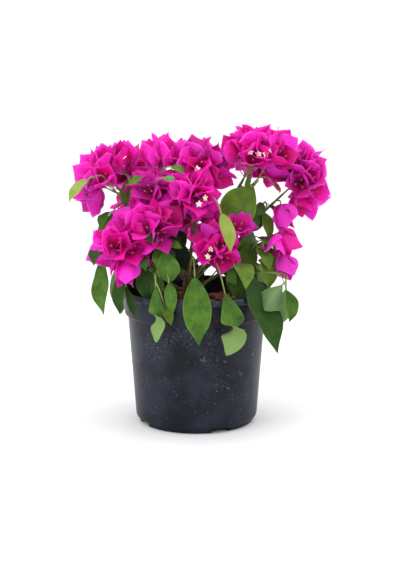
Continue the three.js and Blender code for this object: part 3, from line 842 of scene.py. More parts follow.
@dataclass
class Pot:
    """The pot: a moulded shell with a rolled lip, a ringed band, a tapered body and a slotted foot."""

    height: float = 152
    rim_radius: float = 85
    band_height: float = 27.5
    band_foot_radius: float = 81
    body_top_radius: float = 77.5
    body_foot_radius: float = 69
    body_rise: float = 3.5
    shoulder: float = 1.5
    foot_radius: float = 65
    foot_height: float = 5
    foot_chamfer: float = 1.2
    sole: float = 10
    wall: float = 1.6
    floor: float = 2
    floor_cove: float = 8
    lip_height: float = 6.5
    lip_width: float = 2.4
    lip_rise: float = 1.7
    lip_round: float = 1.5
    ring_spacing: float = 3.4
    rings: int = 3
    ring_rise: float = 0.55
    ring_width: float = 0.7
    slots: int = 4
    slot_width: float = 20
    slot_height: float = 4
    slot_depth: float = 9
    slot_reach: float = 12
    slot_bearing: float = -65
    slot_edge: float = 0.8  # degrees over which a slot's cheek falls away
    fillet: float = 0.9
    segments: int = 240
    step: float = 2.0

    def profile(self) -> Array:
        """The closed section, up the outside and down the inside, its corners eased by short curves.

        Offsets of about a millimetre are the mould's own steps and drafts.

        Returns:
            Rows of [radius, height].
        """
        band_foot = self.height - self.band_height
        lip_foot = self.height - self.lip_height
        foot, body, neck = self.foot_radius, self.body_foot_radius, self.body_top_radius
        band, rim, wall = self.band_foot_radius, self.rim_radius, self.wall
        band_top, lip_inner = rim - self.lip_rise, rim - self.lip_width
        outside = [
            (0, 0), (foot - self.sole, 0), (foot - self.foot_chamfer, 0), (foot, self.foot_chamfer),
            (foot, self.slot_height), (foot, self.slot_height + 0.5), (foot, self.foot_height),
            (body - 0.6, self.foot_height + 1.5), (body, self.foot_height + self.body_rise),
            (neck, band_foot - self.shoulder), (band - 0.4, band_foot - 0.5), (band, band_foot + 1),
            (band_top, lip_foot - 0.8), (rim, lip_foot + 0.6), (rim, self.height - self.lip_round),
            (rim - 1, self.height),
        ]
        inside = [
            (lip_inner, self.height), (lip_inner - 0.6, self.height - self.lip_round),
            (band_top - wall - 0.4, lip_foot - 2.5), (band - wall, band_foot + 1),
            (neck - wall, band_foot - self.shoulder), (body - wall, self.foot_height + self.body_rise),
            (foot - wall, self.foot_height), (foot - wall - self.floor_cove, self.floor), (0, self.floor),
        ]
        corners = np.array(outside + inside, dtype=float)
        before, after = corners[1:-1] - corners[:-2], corners[2:] - corners[1:-1]
        shorter = np.minimum(np.linalg.norm(before, axis=1), np.linalg.norm(after, axis=1))
        ease = np.minimum(self.fillet, 0.4 * shorter)[:, None]
        start, end = corners[1:-1] - unit(before) * ease, corners[1:-1] + unit(after) * ease
        middle = (start + 2 * corners[1:-1] + end) / 4
        rounded = np.stack([start, middle, end], axis=1).reshape(-1, 2)
        return self.divided(np.vstack([corners[:1], rounded, corners[-1:]]))

    def divided(self, line: Array) -> Array:
        """Adds points to a line so that none is further than a step from the next.

        Args:
            line: rows of [radius, height].

        Returns:
            More rows of the same line.
        """
        counts = np.ceil(np.linalg.norm(np.diff(line, axis=0), axis=1) / self.step).astype(int)
        spans = zip(line[:-1], line[1:], np.maximum(counts, 1))
        parts = [np.linspace(start, end, count, endpoint=False) for start, end, count in spans]
        return np.vstack([*parts, line[-1:]])

    def build(self) -> None:
        """Turns the section, raises the band's rings and sinks the drain slots into the foot.

        A ring is a bell across the section, and a slot draws points in towards the axis between two
        bearings.
        """
        profile = self.profile()
        outer = np.arange(len(profile)) < np.argmax(profile[:, 1])
        first = self.height - self.lip_height - self.ring_spacing
        for ring in range(self.rings):
            level = first - ring * self.ring_spacing
            profile[:, 0] += outer * self.ring_rise * bump((profile[:, 1] - level) / self.ring_width)
        grid = revolved(profile, self.segments)
        bearing = np.degrees(np.arctan2(grid[..., 1], grid[..., 0]))
        half = math.degrees(self.slot_width / 2 / self.foot_radius)
        pitch = 360 / self.slots
        turn = (bearing - self.slot_bearing + pitch / 2) % pitch - pitch / 2
        edge = np.clip((half - np.abs(turn)) / self.slot_edge, 0, 1)
        low = outer[None, :, None] & (grid[..., 2] < self.slot_height + 0.2)
        wide = np.hypot(grid[..., 0], grid[..., 1])
        deepest = np.maximum(wide - self.foot_radius + self.slot_reach, 0)
        sunk = np.where(low, np.minimum(edge * self.slot_depth, deepest), 0)
        grid[..., :2] *= (1 - sunk / np.maximum(wide, 1e-6))[..., None]
        mesh = GridMesh()
        mesh.add(grid, around=True)
        mesh.make("nursery_pot", [MouldedPolyethylene()], "pot_plastic", ["pot"])


@dataclass
class Soil:
    """The potting mix: a lumpy top a little under the lip, with chips of bark lying on it."""

    pot: Pot
    drop: float = 18
    fall: float = 3
    level_radius: float = 24
    calm_radius: float = 8
    calm_width: float = 16
    lump: float = 1.4
    waves: tuple[Triple, ...] = (
        (0.11, 0.3, 1.0), (0.17, 1.5, 0.8), (0.29, 2.5, 0.6), (0.43, 0.9, 0.45), (0.61, 2.0, 0.3),
    )
    rings: int = 44
    segments: int = 150
    chips: int = 520
    chip_longest: float = 12.5
    chip_shape: Triple = (1, 0.62, 0.34)
    chip_sizes: tuple[float, float] = (0.35, 1)
    chip_odds: tuple[float, float] = (0.75, 1.15)
    chip_skin: tuple[float, float] = (0.82, 1.1)
    chip_tilt: float = 0.35
    chip_deal: Triple = (0.42, 0.4, 0.18)
    chip_grid: tuple[int, int] = (6, 8)
    seed: int = 71

    def top(self, x: Array, y: Array) -> Array:
        """The height of the soil: level round the trunk, falling a little to the wall, with lumps.

        The lumps are sine waves of several lengths, each with its rate, bearing and share, added together.

        Args:
            x: places across.
            y: places from front to back.

        Returns:
            The height at each place.
        """
        radius = np.hypot(x, y)
        edge = self.pot.band_foot_radius - self.pot.wall
        away = np.clip((radius - self.level_radius) / (edge - self.level_radius), 0, 1)
        calm = np.clip((radius - self.calm_radius) / self.calm_width, 0, 1)
        rise = sum(
            share * np.sin(rate * (x * math.cos(bearing) + y * math.sin(bearing)) + 5 * bearing)
            for rate, bearing, share in self.waves
        )
        return self.pot.height - self.drop - self.fall * away**1.5 + calm * self.lump * rise / 2

    def build(self) -> None:
        """Turns the body of soil with its lumpy top, and scatters the chips."""
        pot, inset = self.pot, self.pot.wall + CLEAR
        band_foot = pot.height - pot.band_height
        edge = pot.band_foot_radius - inset
        low = [
            (0, pot.floor + CLEAR),
            (pot.foot_radius - pot.sole, pot.floor + CLEAR),
            (pot.body_foot_radius - inset, pot.foot_height + pot.body_rise + CLEAR),
            (pot.body_top_radius - inset, band_foot - pot.shoulder + CLEAR),
            (edge, band_foot + 1 + CLEAR),
        ]
        rings = np.linspace(edge, 0, self.rings)
        grid = revolved(np.vstack([low, np.stack([rings, rings * 0], axis=-1)]), self.segments)
        top = grid[:, len(low) :]
        top[..., 2] = self.top(top[..., 0], top[..., 1])
        mesh = GridMesh()
        mesh.add(grid, around=True)
        mesh.make("potting_mix", [PottingMix()], "potting_soil", ["soil"])
        self.scatter(edge)

    @staticmethod
    def blocky(wave: Array) -> Array:
        """A wave whose turns are squared off: its size to the power 0.55, with its sign."""
        return np.sign(wave) * np.abs(wave) ** 0.55

    def scatter(self, edge: float) -> None:
        """Lays chips on the top: lumps, each a rounded box by powers of sine and cosine, with uneven skin.

        Args:
            edge: the soil's outer radius.
        """
        random = np.random.default_rng(self.seed)
        rows, columns = self.chip_grid
        longest = self.chip_longest * random.uniform(*self.chip_sizes, self.chips)[:, None]
        size = longest * self.chip_shape / 2
        size *= random.uniform(*self.chip_odds, (self.chips, 3))
        radius = (edge - size[:, 0] - 0.5) * np.sqrt(random.uniform(0.015, 1, self.chips))
        bearing = random.uniform(0, FULL_TURN, self.chips)
        x, y = radius * np.cos(bearing), radius * np.sin(bearing)
        latitude = np.linspace(-np.pi / 2, np.pi / 2, rows)[:, None]
        longitude = np.linspace(0, FULL_TURN, columns, endpoint=False)
        wide = self.blocky(np.cos(latitude).clip(0))
        box = [wide * self.blocky(np.cos(longitude)), wide * self.blocky(np.sin(longitude))]
        shape = np.stack([*box, self.blocky(np.sin(latitude)) * np.ones(columns)], axis=-1)
        shape[[0, -1], :, :2] = 0
        uneven = random.uniform(*self.chip_skin, (self.chips, rows, columns, 1))
        uneven[:, [0, -1]] = 1
        lumps = shape[None] * size[:, None, None] * uneven
        tilt = random.uniform(-self.chip_tilt, self.chip_tilt, self.chips)
        heading = unit(np.stack([np.cos(7 * bearing), np.sin(7 * bearing), tilt], axis=-1))
        across = unit(np.cross(UP, heading))
        axes = (heading, across, np.cross(heading, across))
        place = np.stack([x, y, self.top(x, y) + size[:, 2] * 0.5], axis=-1)[:, None, None]
        chips = place + sum(lumps[..., k : k + 1] * axis[:, None, None] for k, axis in enumerate(axes))
        # Composted bark: split flakes of three browns, darker where damp lies in them.
        flakes = {"other": "#2b1a10", "size": 3, "span": (0.35, 0.7), "most": 0.6, "stretch": (1, 1, 0.4)}
        colours = {"red": "#a85f35", "brown": "#6b452c", "tan": "#b58253"}
        finishes = [TwoTone(f"composted_bark_{name}", colour, **flakes) for name, colour in colours.items()]
        mesh = GridMesh()
        mesh.add(chips, random.choice(len(finishes), self.chips, p=self.chip_deal), around=True)
        mesh.make("bark_chips", finishes, "potting_soil")


# The shrub


class Region(Enum):
    """Sides of the crown, each with its bracts in one piece."""

    BACK = "back"
    LEFT = "left"
    MIDDLE = "middle"
    RIGHT = "right"


LEADER = -1  # stands for the bud at the trunk's tip
BACK, LEFT, MIDDLE, RIGHT = Region
FRESH, DARK, OLIVE, YOUNG, SAGE, SHADED = LeafTint


@dataclass(frozen=True)
class Bloom:
    """A mass of bracts: where it grows from, its middle and reach, and how its flowers turn and look.

    Its bough starts at a bud counted up the trunk, or at the trunk's tip for the leader, or else its stem
    grows from beside the tip of a neighbour's bough. lift turns the flowers up or down, violet is the share
    of violet ones, raised on some masses partly as painted shade, opening is how far the widest of them
    opens, stars is how many show their small tube flowers open, and solid says whether a solid stands for
    the mass.
    """

    name: str
    bud: int | None
    centre: Triple
    radii: Triple
    flowers: int
    lift: float
    bough: str | None = None
    region: Region = MIDDLE
    violet: float = 0.12
    opening: float = 0.7
    stars: int = 0
    solid: bool = True


@dataclass(frozen=True)
class LeafMass:
    """A mass of leaves: a shoot from the trunk or a bough to its end, a last leaf to tip, and side leaves.

    width is a share of the leaf's length, hook bends its tip, swing turns that bend to the side, fold
    raises its halves, twist turns its outer half over, point draws out its tip, stalk is a share of its
    length, turned shows its underside, and solid says whether a solid stands for the mass.
    """

    name: str
    origin: int | str
    end: Triple
    tip: Triple
    side: int
    width: float = 0.5
    tint: LeafTint = FRESH
    hook: float = -0.5
    fold: float = 0.28
    twist: float = 0.0
    point: float = 0.95
    stalk: float = 0.16
    turned: bool = False
    swing: float = 0.0
    solid: bool = True


lone_bloom = partial(Bloom, solid=False)  # flowers beside the masses, for which no solid stands
lone_shoot = partial(LeafMass, solid=False)  # leaves of the same kind
# violet shares above the usual are partly painted shade on the masses that lie in shade
BLOOMS = (
    Bloom("left_low", 4, (-80, -46, 206), (33, 28, 22), 22, 0.4, region=LEFT),
    Bloom("right_hanging", 5, (89, -16, 216), (8, 10, 18), 1, -1.6, region=RIGHT, opening=0.45, stars=1),
    Bloom("back", 9, (0, 80, 222), (44, 29, 35), 14, 0.4, region=BACK, stars=2),
    Bloom("left_middle", 10, (-54, -42, 224), (38, 28, 31), 26, 0.5, region=LEFT),
    Bloom("front", 11, (24, -54, 203), (16, 20, 19), 12, 0.4, violet=0.15, stars=1),
    Bloom("right_outer", 12, (116, 6, 273), (28, 30, 42), 18, 0.3, region=RIGHT),
    Bloom("left_tip", 13, (-101, -4, 282), (28, 27, 23), 22, 2.2, region=LEFT, opening=0.25),
    Bloom("left_end", None, (-103, -22, 270), (24, 22, 16), 10, 0.1, "left_tip", LEFT, opening=0.45),
    Bloom("back_left", 14, (-72, 62, 266), (40, 35, 38), 15, 0.5, region=BACK, stars=2),
    Bloom("back_right", 15, (62, 68, 280), (41, 35, 38), 15, 0.5, region=BACK, stars=2),
    Bloom("left_upper", 16, (-80, 8, 281), (24, 27, 24), 18, 2.6, region=LEFT, opening=0.25, stars=1),
    Bloom("right_top", 17, (68, 0, 298), (46, 34, 34), 22, 0.8, region=RIGHT, stars=2),
    Bloom("top", 18, (-37, 10, 286), (34, 30, 26), 26, 3.0, opening=0.2),
    Bloom("left_inner", None, (-50, -14, 261), (26, 22, 21), 16, 0.3, "top", violet=0.4),
    Bloom("centre", LEADER, (4, -6, 286), (34, 31, 31), 26, 0.7, stars=1),
    Bloom("centre_low", None, (-4, -32, 260), (25, 24, 20), 18, 0.4, "centre", stars=1),
    lone_bloom("front_high", None, (43, -45, 222), (13, 13, 13), 1, 0.5, "front", violet=1.0),
    lone_bloom("left_drop", None, (-75, -54, 194), (7, 8, 12), 1, -2.2, "left_low", LEFT, opening=0.25),
    lone_bloom("right_drop", None, (90, -14, 196), (7, 8, 14), 1, -1.8, "right_hanging", RIGHT, 1.0, 0.4),
    lone_bloom("right_crest", None, (86, -6, 306), (18, 18, 16), 3, 0.8, "right_top", RIGHT),
    lone_bloom("right_lantern", None, (93, -12, 248), (6, 8, 14), 1, -2.6, "right_outer", RIGHT, 1.0, 0.2),
    lone_bloom("left_out", None, (-88, -52, 204), (8, 8, 8), 1, 0.1, "left_low", LEFT, opening=0.6),
)
LEAVES = (
    LeafMass("front_left", 0, (-44, -72, 174), (-42, -97, 116), 0, 0.27, FRESH, 0.2, twist=2.7, point=0.5),
    LeafMass("right_low", 1, (49, -52, 186), (92, -72, 105), 2, 0.36, DARK, -0.3),
    LeafMass("back_low", 2, (-16, 74, 186), (-18, 100, 112), 6),
    LeafMass("front", 3, (-2, -86, 190), (3, -98, 110), 0, 0.36, FRESH, -0.2, 0.16, point=1.0),
    LeafMass("back_right", 6, (54, 58, 188), (76, 82, 116), 7),
    LeafMass(
        "front_right", 7, (25, -76, 184), (46, -96, 101), 0, 0.31, FRESH, 0.8, 0.3, 2.7, 0.6, 0.3, swing=1.5
    ),
    LeafMass("back_left", 8, (-66, 46, 190), (-94, 62, 120), 8, tint=OLIVE),
    LeafMass("left_low", "left_low", (-102, -30, 203), (-107, -42, 130), 2, 0.28, FRESH),
    LeafMass("left_front", "left_low", (-82, -56, 186), (-85, -66, 136), 0, 0.28, DARK),
    LeafMass("left_middle", "left_middle", (-37, -58, 208), (-27, -68, 174), 4, 0.66, FRESH, point=0.5),
    LeafMass("left_upper", "left_upper", (-74, -10, 277), (-76, -18, 243), 2, tint=OLIVE),
    LeafMass("left_tip", "left_tip", (-92, -16, 240), (-107, -30, 212), 3, tint=OLIVE),
    LeafMass("left_end", "left_tip", (-114, -46, 281), (-139, -54, 263), 1, 0.44, YOUNG),
    LeafMass("top", "top", (-48, -24, 276), (-76, -34, 280), 0, 0.36, OLIVE),
    LeafMass("centre", "centre", (25, -66, 250), (38, -86, 212), 0, 0.32, YOUNG, fold=0.7),
    LeafMass("right_top", "right_top", (68, -10, 273), (35, -28, 235), 0, 0.76, OLIVE, point=0.5),
    LeafMass("right_outer", "right_outer", (75, -6, 249), (57, -22, 222), 3, 0.6, DARK),
    LeafMass("right_inner", "right_hanging", (62, -10, 214), (50, -22, 170), 4, tint=OLIVE),
    LeafMass("right_middle", "right_hanging", (73, -28, 208), (83, -38, 160), 3, tint=OLIVE),
    LeafMass(
        "right_curl", "right_hanging", (99, -36, 164), (100, -46, 115), 0, 0.5, SAGE, 1.2, 0.5, point=0.5,
        turned=True,
    ),
    lone_shoot(
        "right_fold", "right_hanging", (96, -60, 168), (73, -77, 150), 0, 0.78, SAGE, 0.8, 0.8, point=0.4,
        turned=True,
    ),
    lone_shoot("left_shade", "left_middle", (-34, -42, 216), (-8, -48, 186), 2, 0.55, SHADED),
    lone_shoot("left_gap", "left_low", (-60, -50, 190), (-50, -60, 150), 1, 0.5, DARK),
    lone_shoot("left_small", "left_middle", (-30, -69, 174), (-25, -92, 146), 0, 0.34, fold=0.5),
    lone_shoot("right_gap", "right_outer", (71, -14, 246), (83, -22, 212), 1, tint=OLIVE),
    lone_shoot("rim_left", "left_low", (-78, -52, 167), (-66, -60, 132), 0, 0.22, DARK),
    lone_shoot("rim_middle", "left_middle", (-40, -66, 183), (-42, -74, 151), 0, 0.4, DARK),
    lone_shoot("rim_olive", "left_middle", (-43, -73, 170), (-26, -88, 130), 0, 0.23, OLIVE, stalk=0.5),
    lone_shoot("right_stalk", "right_outer", (60, -6, 284), (54, -14, 266), 0, 0.3, OLIVE),
    lone_shoot("right_twig", "right_outer", (82, -8, 276), (94, -14, 264), 0, 0.3, OLIVE),
    lone_shoot("right_roll", "right_hanging", (97, -62, 165), (103, -68, 128), 0, 0.4, fold=0.9),
    lone_shoot("front_inner", "front", (37, -50, 194), (39, -53, 150), 1, 0.26, FRESH),
    lone_shoot("top_front", "top", (-38, -38, 279), (-21, -46, 283), 0, 0.4, SAGE, turned=True),
    lone_shoot("top_small", "top", (-28, -34, 292), (-12, -40, 290), 0, 0.45, OLIVE),
)


@dataclass(frozen=True)
class Opening:
    """A gap in the blossom that lets light or leaves show from the front: its middle and radius."""

    x: float
    z: float
    radius: float

    def shows(self, place: Array) -> bool:
        """Whether a point shows in the gap, on the line from the eye through it to the trunk's plane."""
        seen = EYE + (place - EYE) * EYE[1] / (EYE[1] - place[1])
        return math.hypot(seen[0] - self.x, seen[2] - self.z) < self.radius


OPENINGS = (
    Opening(-94, 258, 19), Opening(46, 271, 13), Opening(67, 269, 15),
    Opening(20, 242, 13), Opening(3, 202, 11), Opening(45, 195, 9),
)


@dataclass
class Frame:
    """The limbs that carry everything, grown by the rule of the solids."""

    soil_top: float = 130
    trunk_foot: tuple[float, float] = (-12, 4)
    trunk_height: float = 58
    trunk_lean: tuple[float, float] = (5, -2)
    trunk_radius: float = 4.8
    trunk_tip_radius: float = 3.4
    flare: float = 3.2
    flare_height: float = 9
    buried: float = 1.5
    first_bud: float = 10
    bud_step: float = 2.5
    bough_radii: tuple[float, float] = (2.1, 1.25)
    stem_radii: tuple[float, float] = (1.1, 0.6)
    bud_angle: float = 0.5
    sweep: float = 0.34
    beside_tip: float = 0.94
    beside_step: float = 0.1
    mouth_depth: float = 0.8
    heart_depth: float = 0.25
    bud_length: float = 2
    rooted: float = 0.6
    trunk_grid: tuple[int, int] = (72, 44)
    bough_grid: tuple[int, int] = (56, 14)
    trunk_relief: float = 0.05
    bough_relief: float = 0.045
    lobes: tuple[int, ...] = (3, 5, 7, 11)
    wander: float = 0.8
    wander_rate: float = 9
    joints: int = 6
    joint_length: float = 0.012
    joint_swell: float = 0.16
    boughs: dict[str, Limb] = field(default_factory=dict)
    stems: dict[str, Limb] = field(default_factory=dict)
    shoots: dict[str, Limb] = field(default_factory=dict)
    taken: dict[str, int] = field(default_factory=dict)

    def __post_init__(self) -> None:
        """Grows the trunk, then the boughs, the stems of the bracts and the shoots of the leaves."""
        self.trunk = self.grow_trunk()
        for bloom in BLOOMS:
            if bloom.bud is not None:
                self.boughs[bloom.name] = self.bough_to(bloom)
        for bloom in BLOOMS:
            share = self.next_beside(bloom.bough) if bloom.bough else 1.0
            self.stems[bloom.name] = self.stem_into(bloom, self.boughs[bloom.bough or bloom.name], share)
        for mass in LEAVES:
            self.shoots[mass.name] = self.shoot_to(mass)

    def grow_trunk(self) -> Limb:
        """The trunk: upright at the soil, then leaning, with a flare that dies away up its foot.

        Returns:
            The trunk, on a cubic curve.
        """
        foot = np.array([*self.trunk_foot, self.soil_top + CLEAR])
        lean = np.array([*self.trunk_lean, 0.0])
        rise = UP * self.trunk_height
        corners = [foot, foot + rise * 0.35, foot + lean * 0.3 + rise * 0.65, foot + lean + rise]
        return Limb(bezier(corners, 80), self.trunk_radius_at)

    def trunk_radius_at(self, share: Array | float) -> Array:
        """The trunk's even taper, and a flare that falls off like an exponential above the soil.

        Args:
            share: of the trunk's length.

        Returns:
            The radius there.
        """
        share = np.asarray(share)
        taper = self.trunk_radius + (self.trunk_tip_radius - self.trunk_radius) * share
        return taper + self.flare * np.exp(-share * self.trunk_height / self.flare_height)

    def next_beside(self, bough: str) -> float:
        """Where the next shoot leaves a bough, each a step further from its tip.

        Args:
            bough: the bough's name.

        Returns:
            A share of its length.
        """
        taken = self.taken.get(bough, 0)
        self.taken[bough] = taken + 1
        return self.beside_tip - taken * self.beside_step

    def bud_share(self, bud: int) -> float:
        """How far up the trunk a numbered bud is."""
        return 1.0 if bud == LEADER else (self.first_bud + bud * self.bud_step) / self.trunk_height

    def sweeping(
        self, parent: Limb, share: float, end: Array, arrive: Array, radii: tuple[float, float]
    ) -> Limb:
        """A limb that buds from the side of another, or from its end, and sweeps to a point.

        It leaves square to its parent, rises with it, and comes in along arrive on a cubic curve.

        Args:
            parent: the limb that carries it.
            share: where it leaves, as a share of the parent's length.
            end: where it goes.
            arrive: its direction there.
            radii: its radius at the foot and at the tip.

        Returns:
            The new limb.
        """
        axis, middle = parent.heading(share), parent.at(share)
        at_end = share == 1
        out = axis if at_end else square_to(axis, end - middle)
        skin = 0 if at_end else float(parent.radius_at(share))
        start = middle + out * (CLEAR + skin)
        span = float(np.linalg.norm(end - start))
        bud = start + out * radii[0] * self.bud_length
        rise = unit(out + axis * (0 if at_end else self.bud_angle))
        corners = [bud, bud + rise * span * self.sweep, end - arrive * span * self.sweep, end]
        line = smooth_line(np.vstack([start, bezier(corners, 6)]))
        return Limb(np.vstack([middle + out * skin * self.rooted, line]), tapering(*radii))

    @staticmethod
    def reach(radii: Triple, direction: Array) -> float:
        """The distance from an ellipsoid's middle to its surface in a direction."""
        return 1 / float(np.linalg.norm(direction / np.array(radii)))

    def bough_to(self, bloom: Bloom) -> Limb:
        """The bough that carries a mass of bracts, up to the mouth of the mass.

        Args:
            bloom: the mass.

        Returns:
            The bough.
        """
        centre, share = np.array(bloom.centre, dtype=float), self.bud_share(bloom.bud)
        inward = unit(centre - self.trunk.at(share))
        mouth = centre - inward * self.mouth_depth * self.reach(bloom.radii, inward)
        return self.sweeping(self.trunk, share, mouth, inward, self.bough_radii)

    def stem_into(self, bloom: Bloom, bough: Limb, share: float) -> Limb:
        """The stem of a mass of bracts, from its bough into the heart of the mass.

        Args:
            bloom: the mass.
            bough: the bough that carries it.
            share: where it leaves the bough.

        Returns:
            The stem.
        """
        centre = np.array(bloom.centre, dtype=float)
        inward = unit(centre - bough.at(1.0))
        heart = centre + inward * self.heart_depth * self.reach(bloom.radii, inward)
        return self.sweeping(bough, share, heart, inward, self.stem_radii)

    def shoot_to(self, mass: LeafMass) -> Limb:
        """The shoot of a mass of leaves.

        Args:
            mass: the mass.

        Returns:
            The shoot.
        """
        on_trunk = isinstance(mass.origin, int)
        parent = self.trunk if on_trunk else self.boughs[mass.origin]
        share = self.bud_share(mass.origin) if on_trunk else self.next_beside(mass.origin)
        end = np.array(mass.end, dtype=float)
        arrive = unit(np.array(mass.tip, dtype=float) - end)
        return self.sweeping(parent, share, end, arrive, self.stem_radii)

    def bark(
        self, limbs: list[Limb], grid: tuple[int, int], depth: float, seed: int, sunk: float = 0
    ) -> Array:
        """Tubes with bark relief: waves that run up a limb and wander round it, and joints that swell.

        The rise of the skin is a sum of sines round the limb, whose phase is a sine up it, and of bells at
        odd heights.

        Args:
            limbs: the limbs.
            grid: rings of each limb and corners of a ring.
            depth: height of the waves as a share of the radius.
            seed: of the random phases and heights.
            sunk: how far the foot goes down into the soil.

        Returns:
            A grid for each limb.
        """
        random = np.random.default_rng(seed)
        rings, sides = grid
        middle, radii = Limb.lines(limbs, rings)
        height = np.linspace(0, 1, rings)[:, None]
        angle = np.linspace(0, FULL_TURN, sides, endpoint=False)
        rise = np.zeros((len(limbs), rings, sides))
        for lobes in self.lobes:
            phase = random.uniform(0, FULL_TURN, (2, len(limbs), 1, 1))
            wander = self.wander * np.sin(self.wander_rate * height + phase[0])
            rise += np.sin(lobes * (angle + wander) + phase[1]) / math.sqrt(lobes)
        joints = random.uniform(0.05, 0.95, (self.joints, len(limbs), 1, 1))
        swell = sum(bump((height - joint) / self.joint_length) for joint in joints)
        middle[:, 0] -= UP * sunk
        return tubes(middle, radii, sides, depth * rise + self.joint_swell * swell)

    def build(self) -> None:
        """Makes the trunk and the boughs with their bark."""
        sunk = CLEAR + self.buried
        trunk = GridMesh()
        trunk.add(self.bark([self.trunk], self.trunk_grid, self.trunk_relief, 5, sunk), around=True)
        trunk.make("trunk_bark", [WoodyBark("corky_grey_bark", "#7c6c53", "#40352a")], "bark", ["trunk"])
        limbs = list(self.boughs.values())
        boughs = GridMesh()
        boughs.add(self.bark(limbs, self.bough_grid, self.bough_relief, 6), around=True)
        young = WoodyBark("young_olive_bark", "#786f46", "#4e4a2c", grain=1.8)
        boughs.make("boughs_bark", [young], "bark", [f"bough_{name}" for name in self.boughs])


class Skin(IntEnum):
    """Skins of the twigs, as their finishes are numbered."""

    GREEN = 0
    FLUSHED = 1


@dataclass
class Twigs:
    """The green twigs: stems, shoots, flower stalks and leaf stalks, joined in one piece."""

    limb_grid: tuple[int, int] = (26, 7)
    stalk_grid: tuple[int, int] = (6, 5)
    mesh: GridMesh = field(default_factory=GridMesh)

    def add_limbs(self, limbs: list[Limb]) -> None:
        """Adds stems or shoots as thin tubes."""
        rings, sides = self.limb_grid
        self.mesh.add(tubes(*Limb.lines(limbs, rings), sides), Skin.GREEN, around=True)

    def add_stalks(self, start: Array, end: Array, sag: Array, skin: Skin, radius: float) -> None:
        """Adds stalks: arcs from start to end that bow by sag in their middle.

        Args:
            start: stack by 3.
            end: stack by 3.
            sag: stack by 3, how far the middle lies off the straight line.
            skin: of the stalks.
            radius: of each stalk.
        """
        rings, sides = self.stalk_grid
        share = np.linspace(0, 1, rings)[None, :, None]
        straight = start[:, None] * (1 - share) + end[:, None] * share
        middle = straight + sag[:, None] * 4 * share * (1 - share)
        self.mesh.add(tubes(middle, np.full(middle.shape[:2], radius), sides), skin, around=True)

    def build(self) -> None:
        """Makes the piece, with soft skin that flushes brown or red over centimetres as it hardens."""
        flush = {"size": 24, "span": (0.4, 0.68), "roughness": 0.6}
        finishes = [
            TwoTone("green_shoot", "#74853f", "#625f36", **flush),
            TwoTone("flushed_flower_stalk", "#8a8a48", "#a34a63", **flush),
        ]
        self.mesh.make("green_twigs", finishes, "bark")


class Flower(NamedTuple):
    """A flower, or arrays of many: its stalk's start, foot, axis, turn, size and a number from 0 to 1."""

    start: Array
    foot: Array
    axis: Array
    turn: Array | float
    size: Array | float
    own: Array | float

    def spokes(self) -> Array:
        """Three ways out from each axis, a third of a turn apart."""
        turn = self.turn[:, None] + np.arange(3) * FULL_TURN / 3
        return turned_about(across_of(self.axis)[:, None], self.axis[:, None], turn)


class Corolla(IntEnum):
    """Parts of the small flowers, as their finishes are numbered."""

    STAR = 0
    TUBE = 1


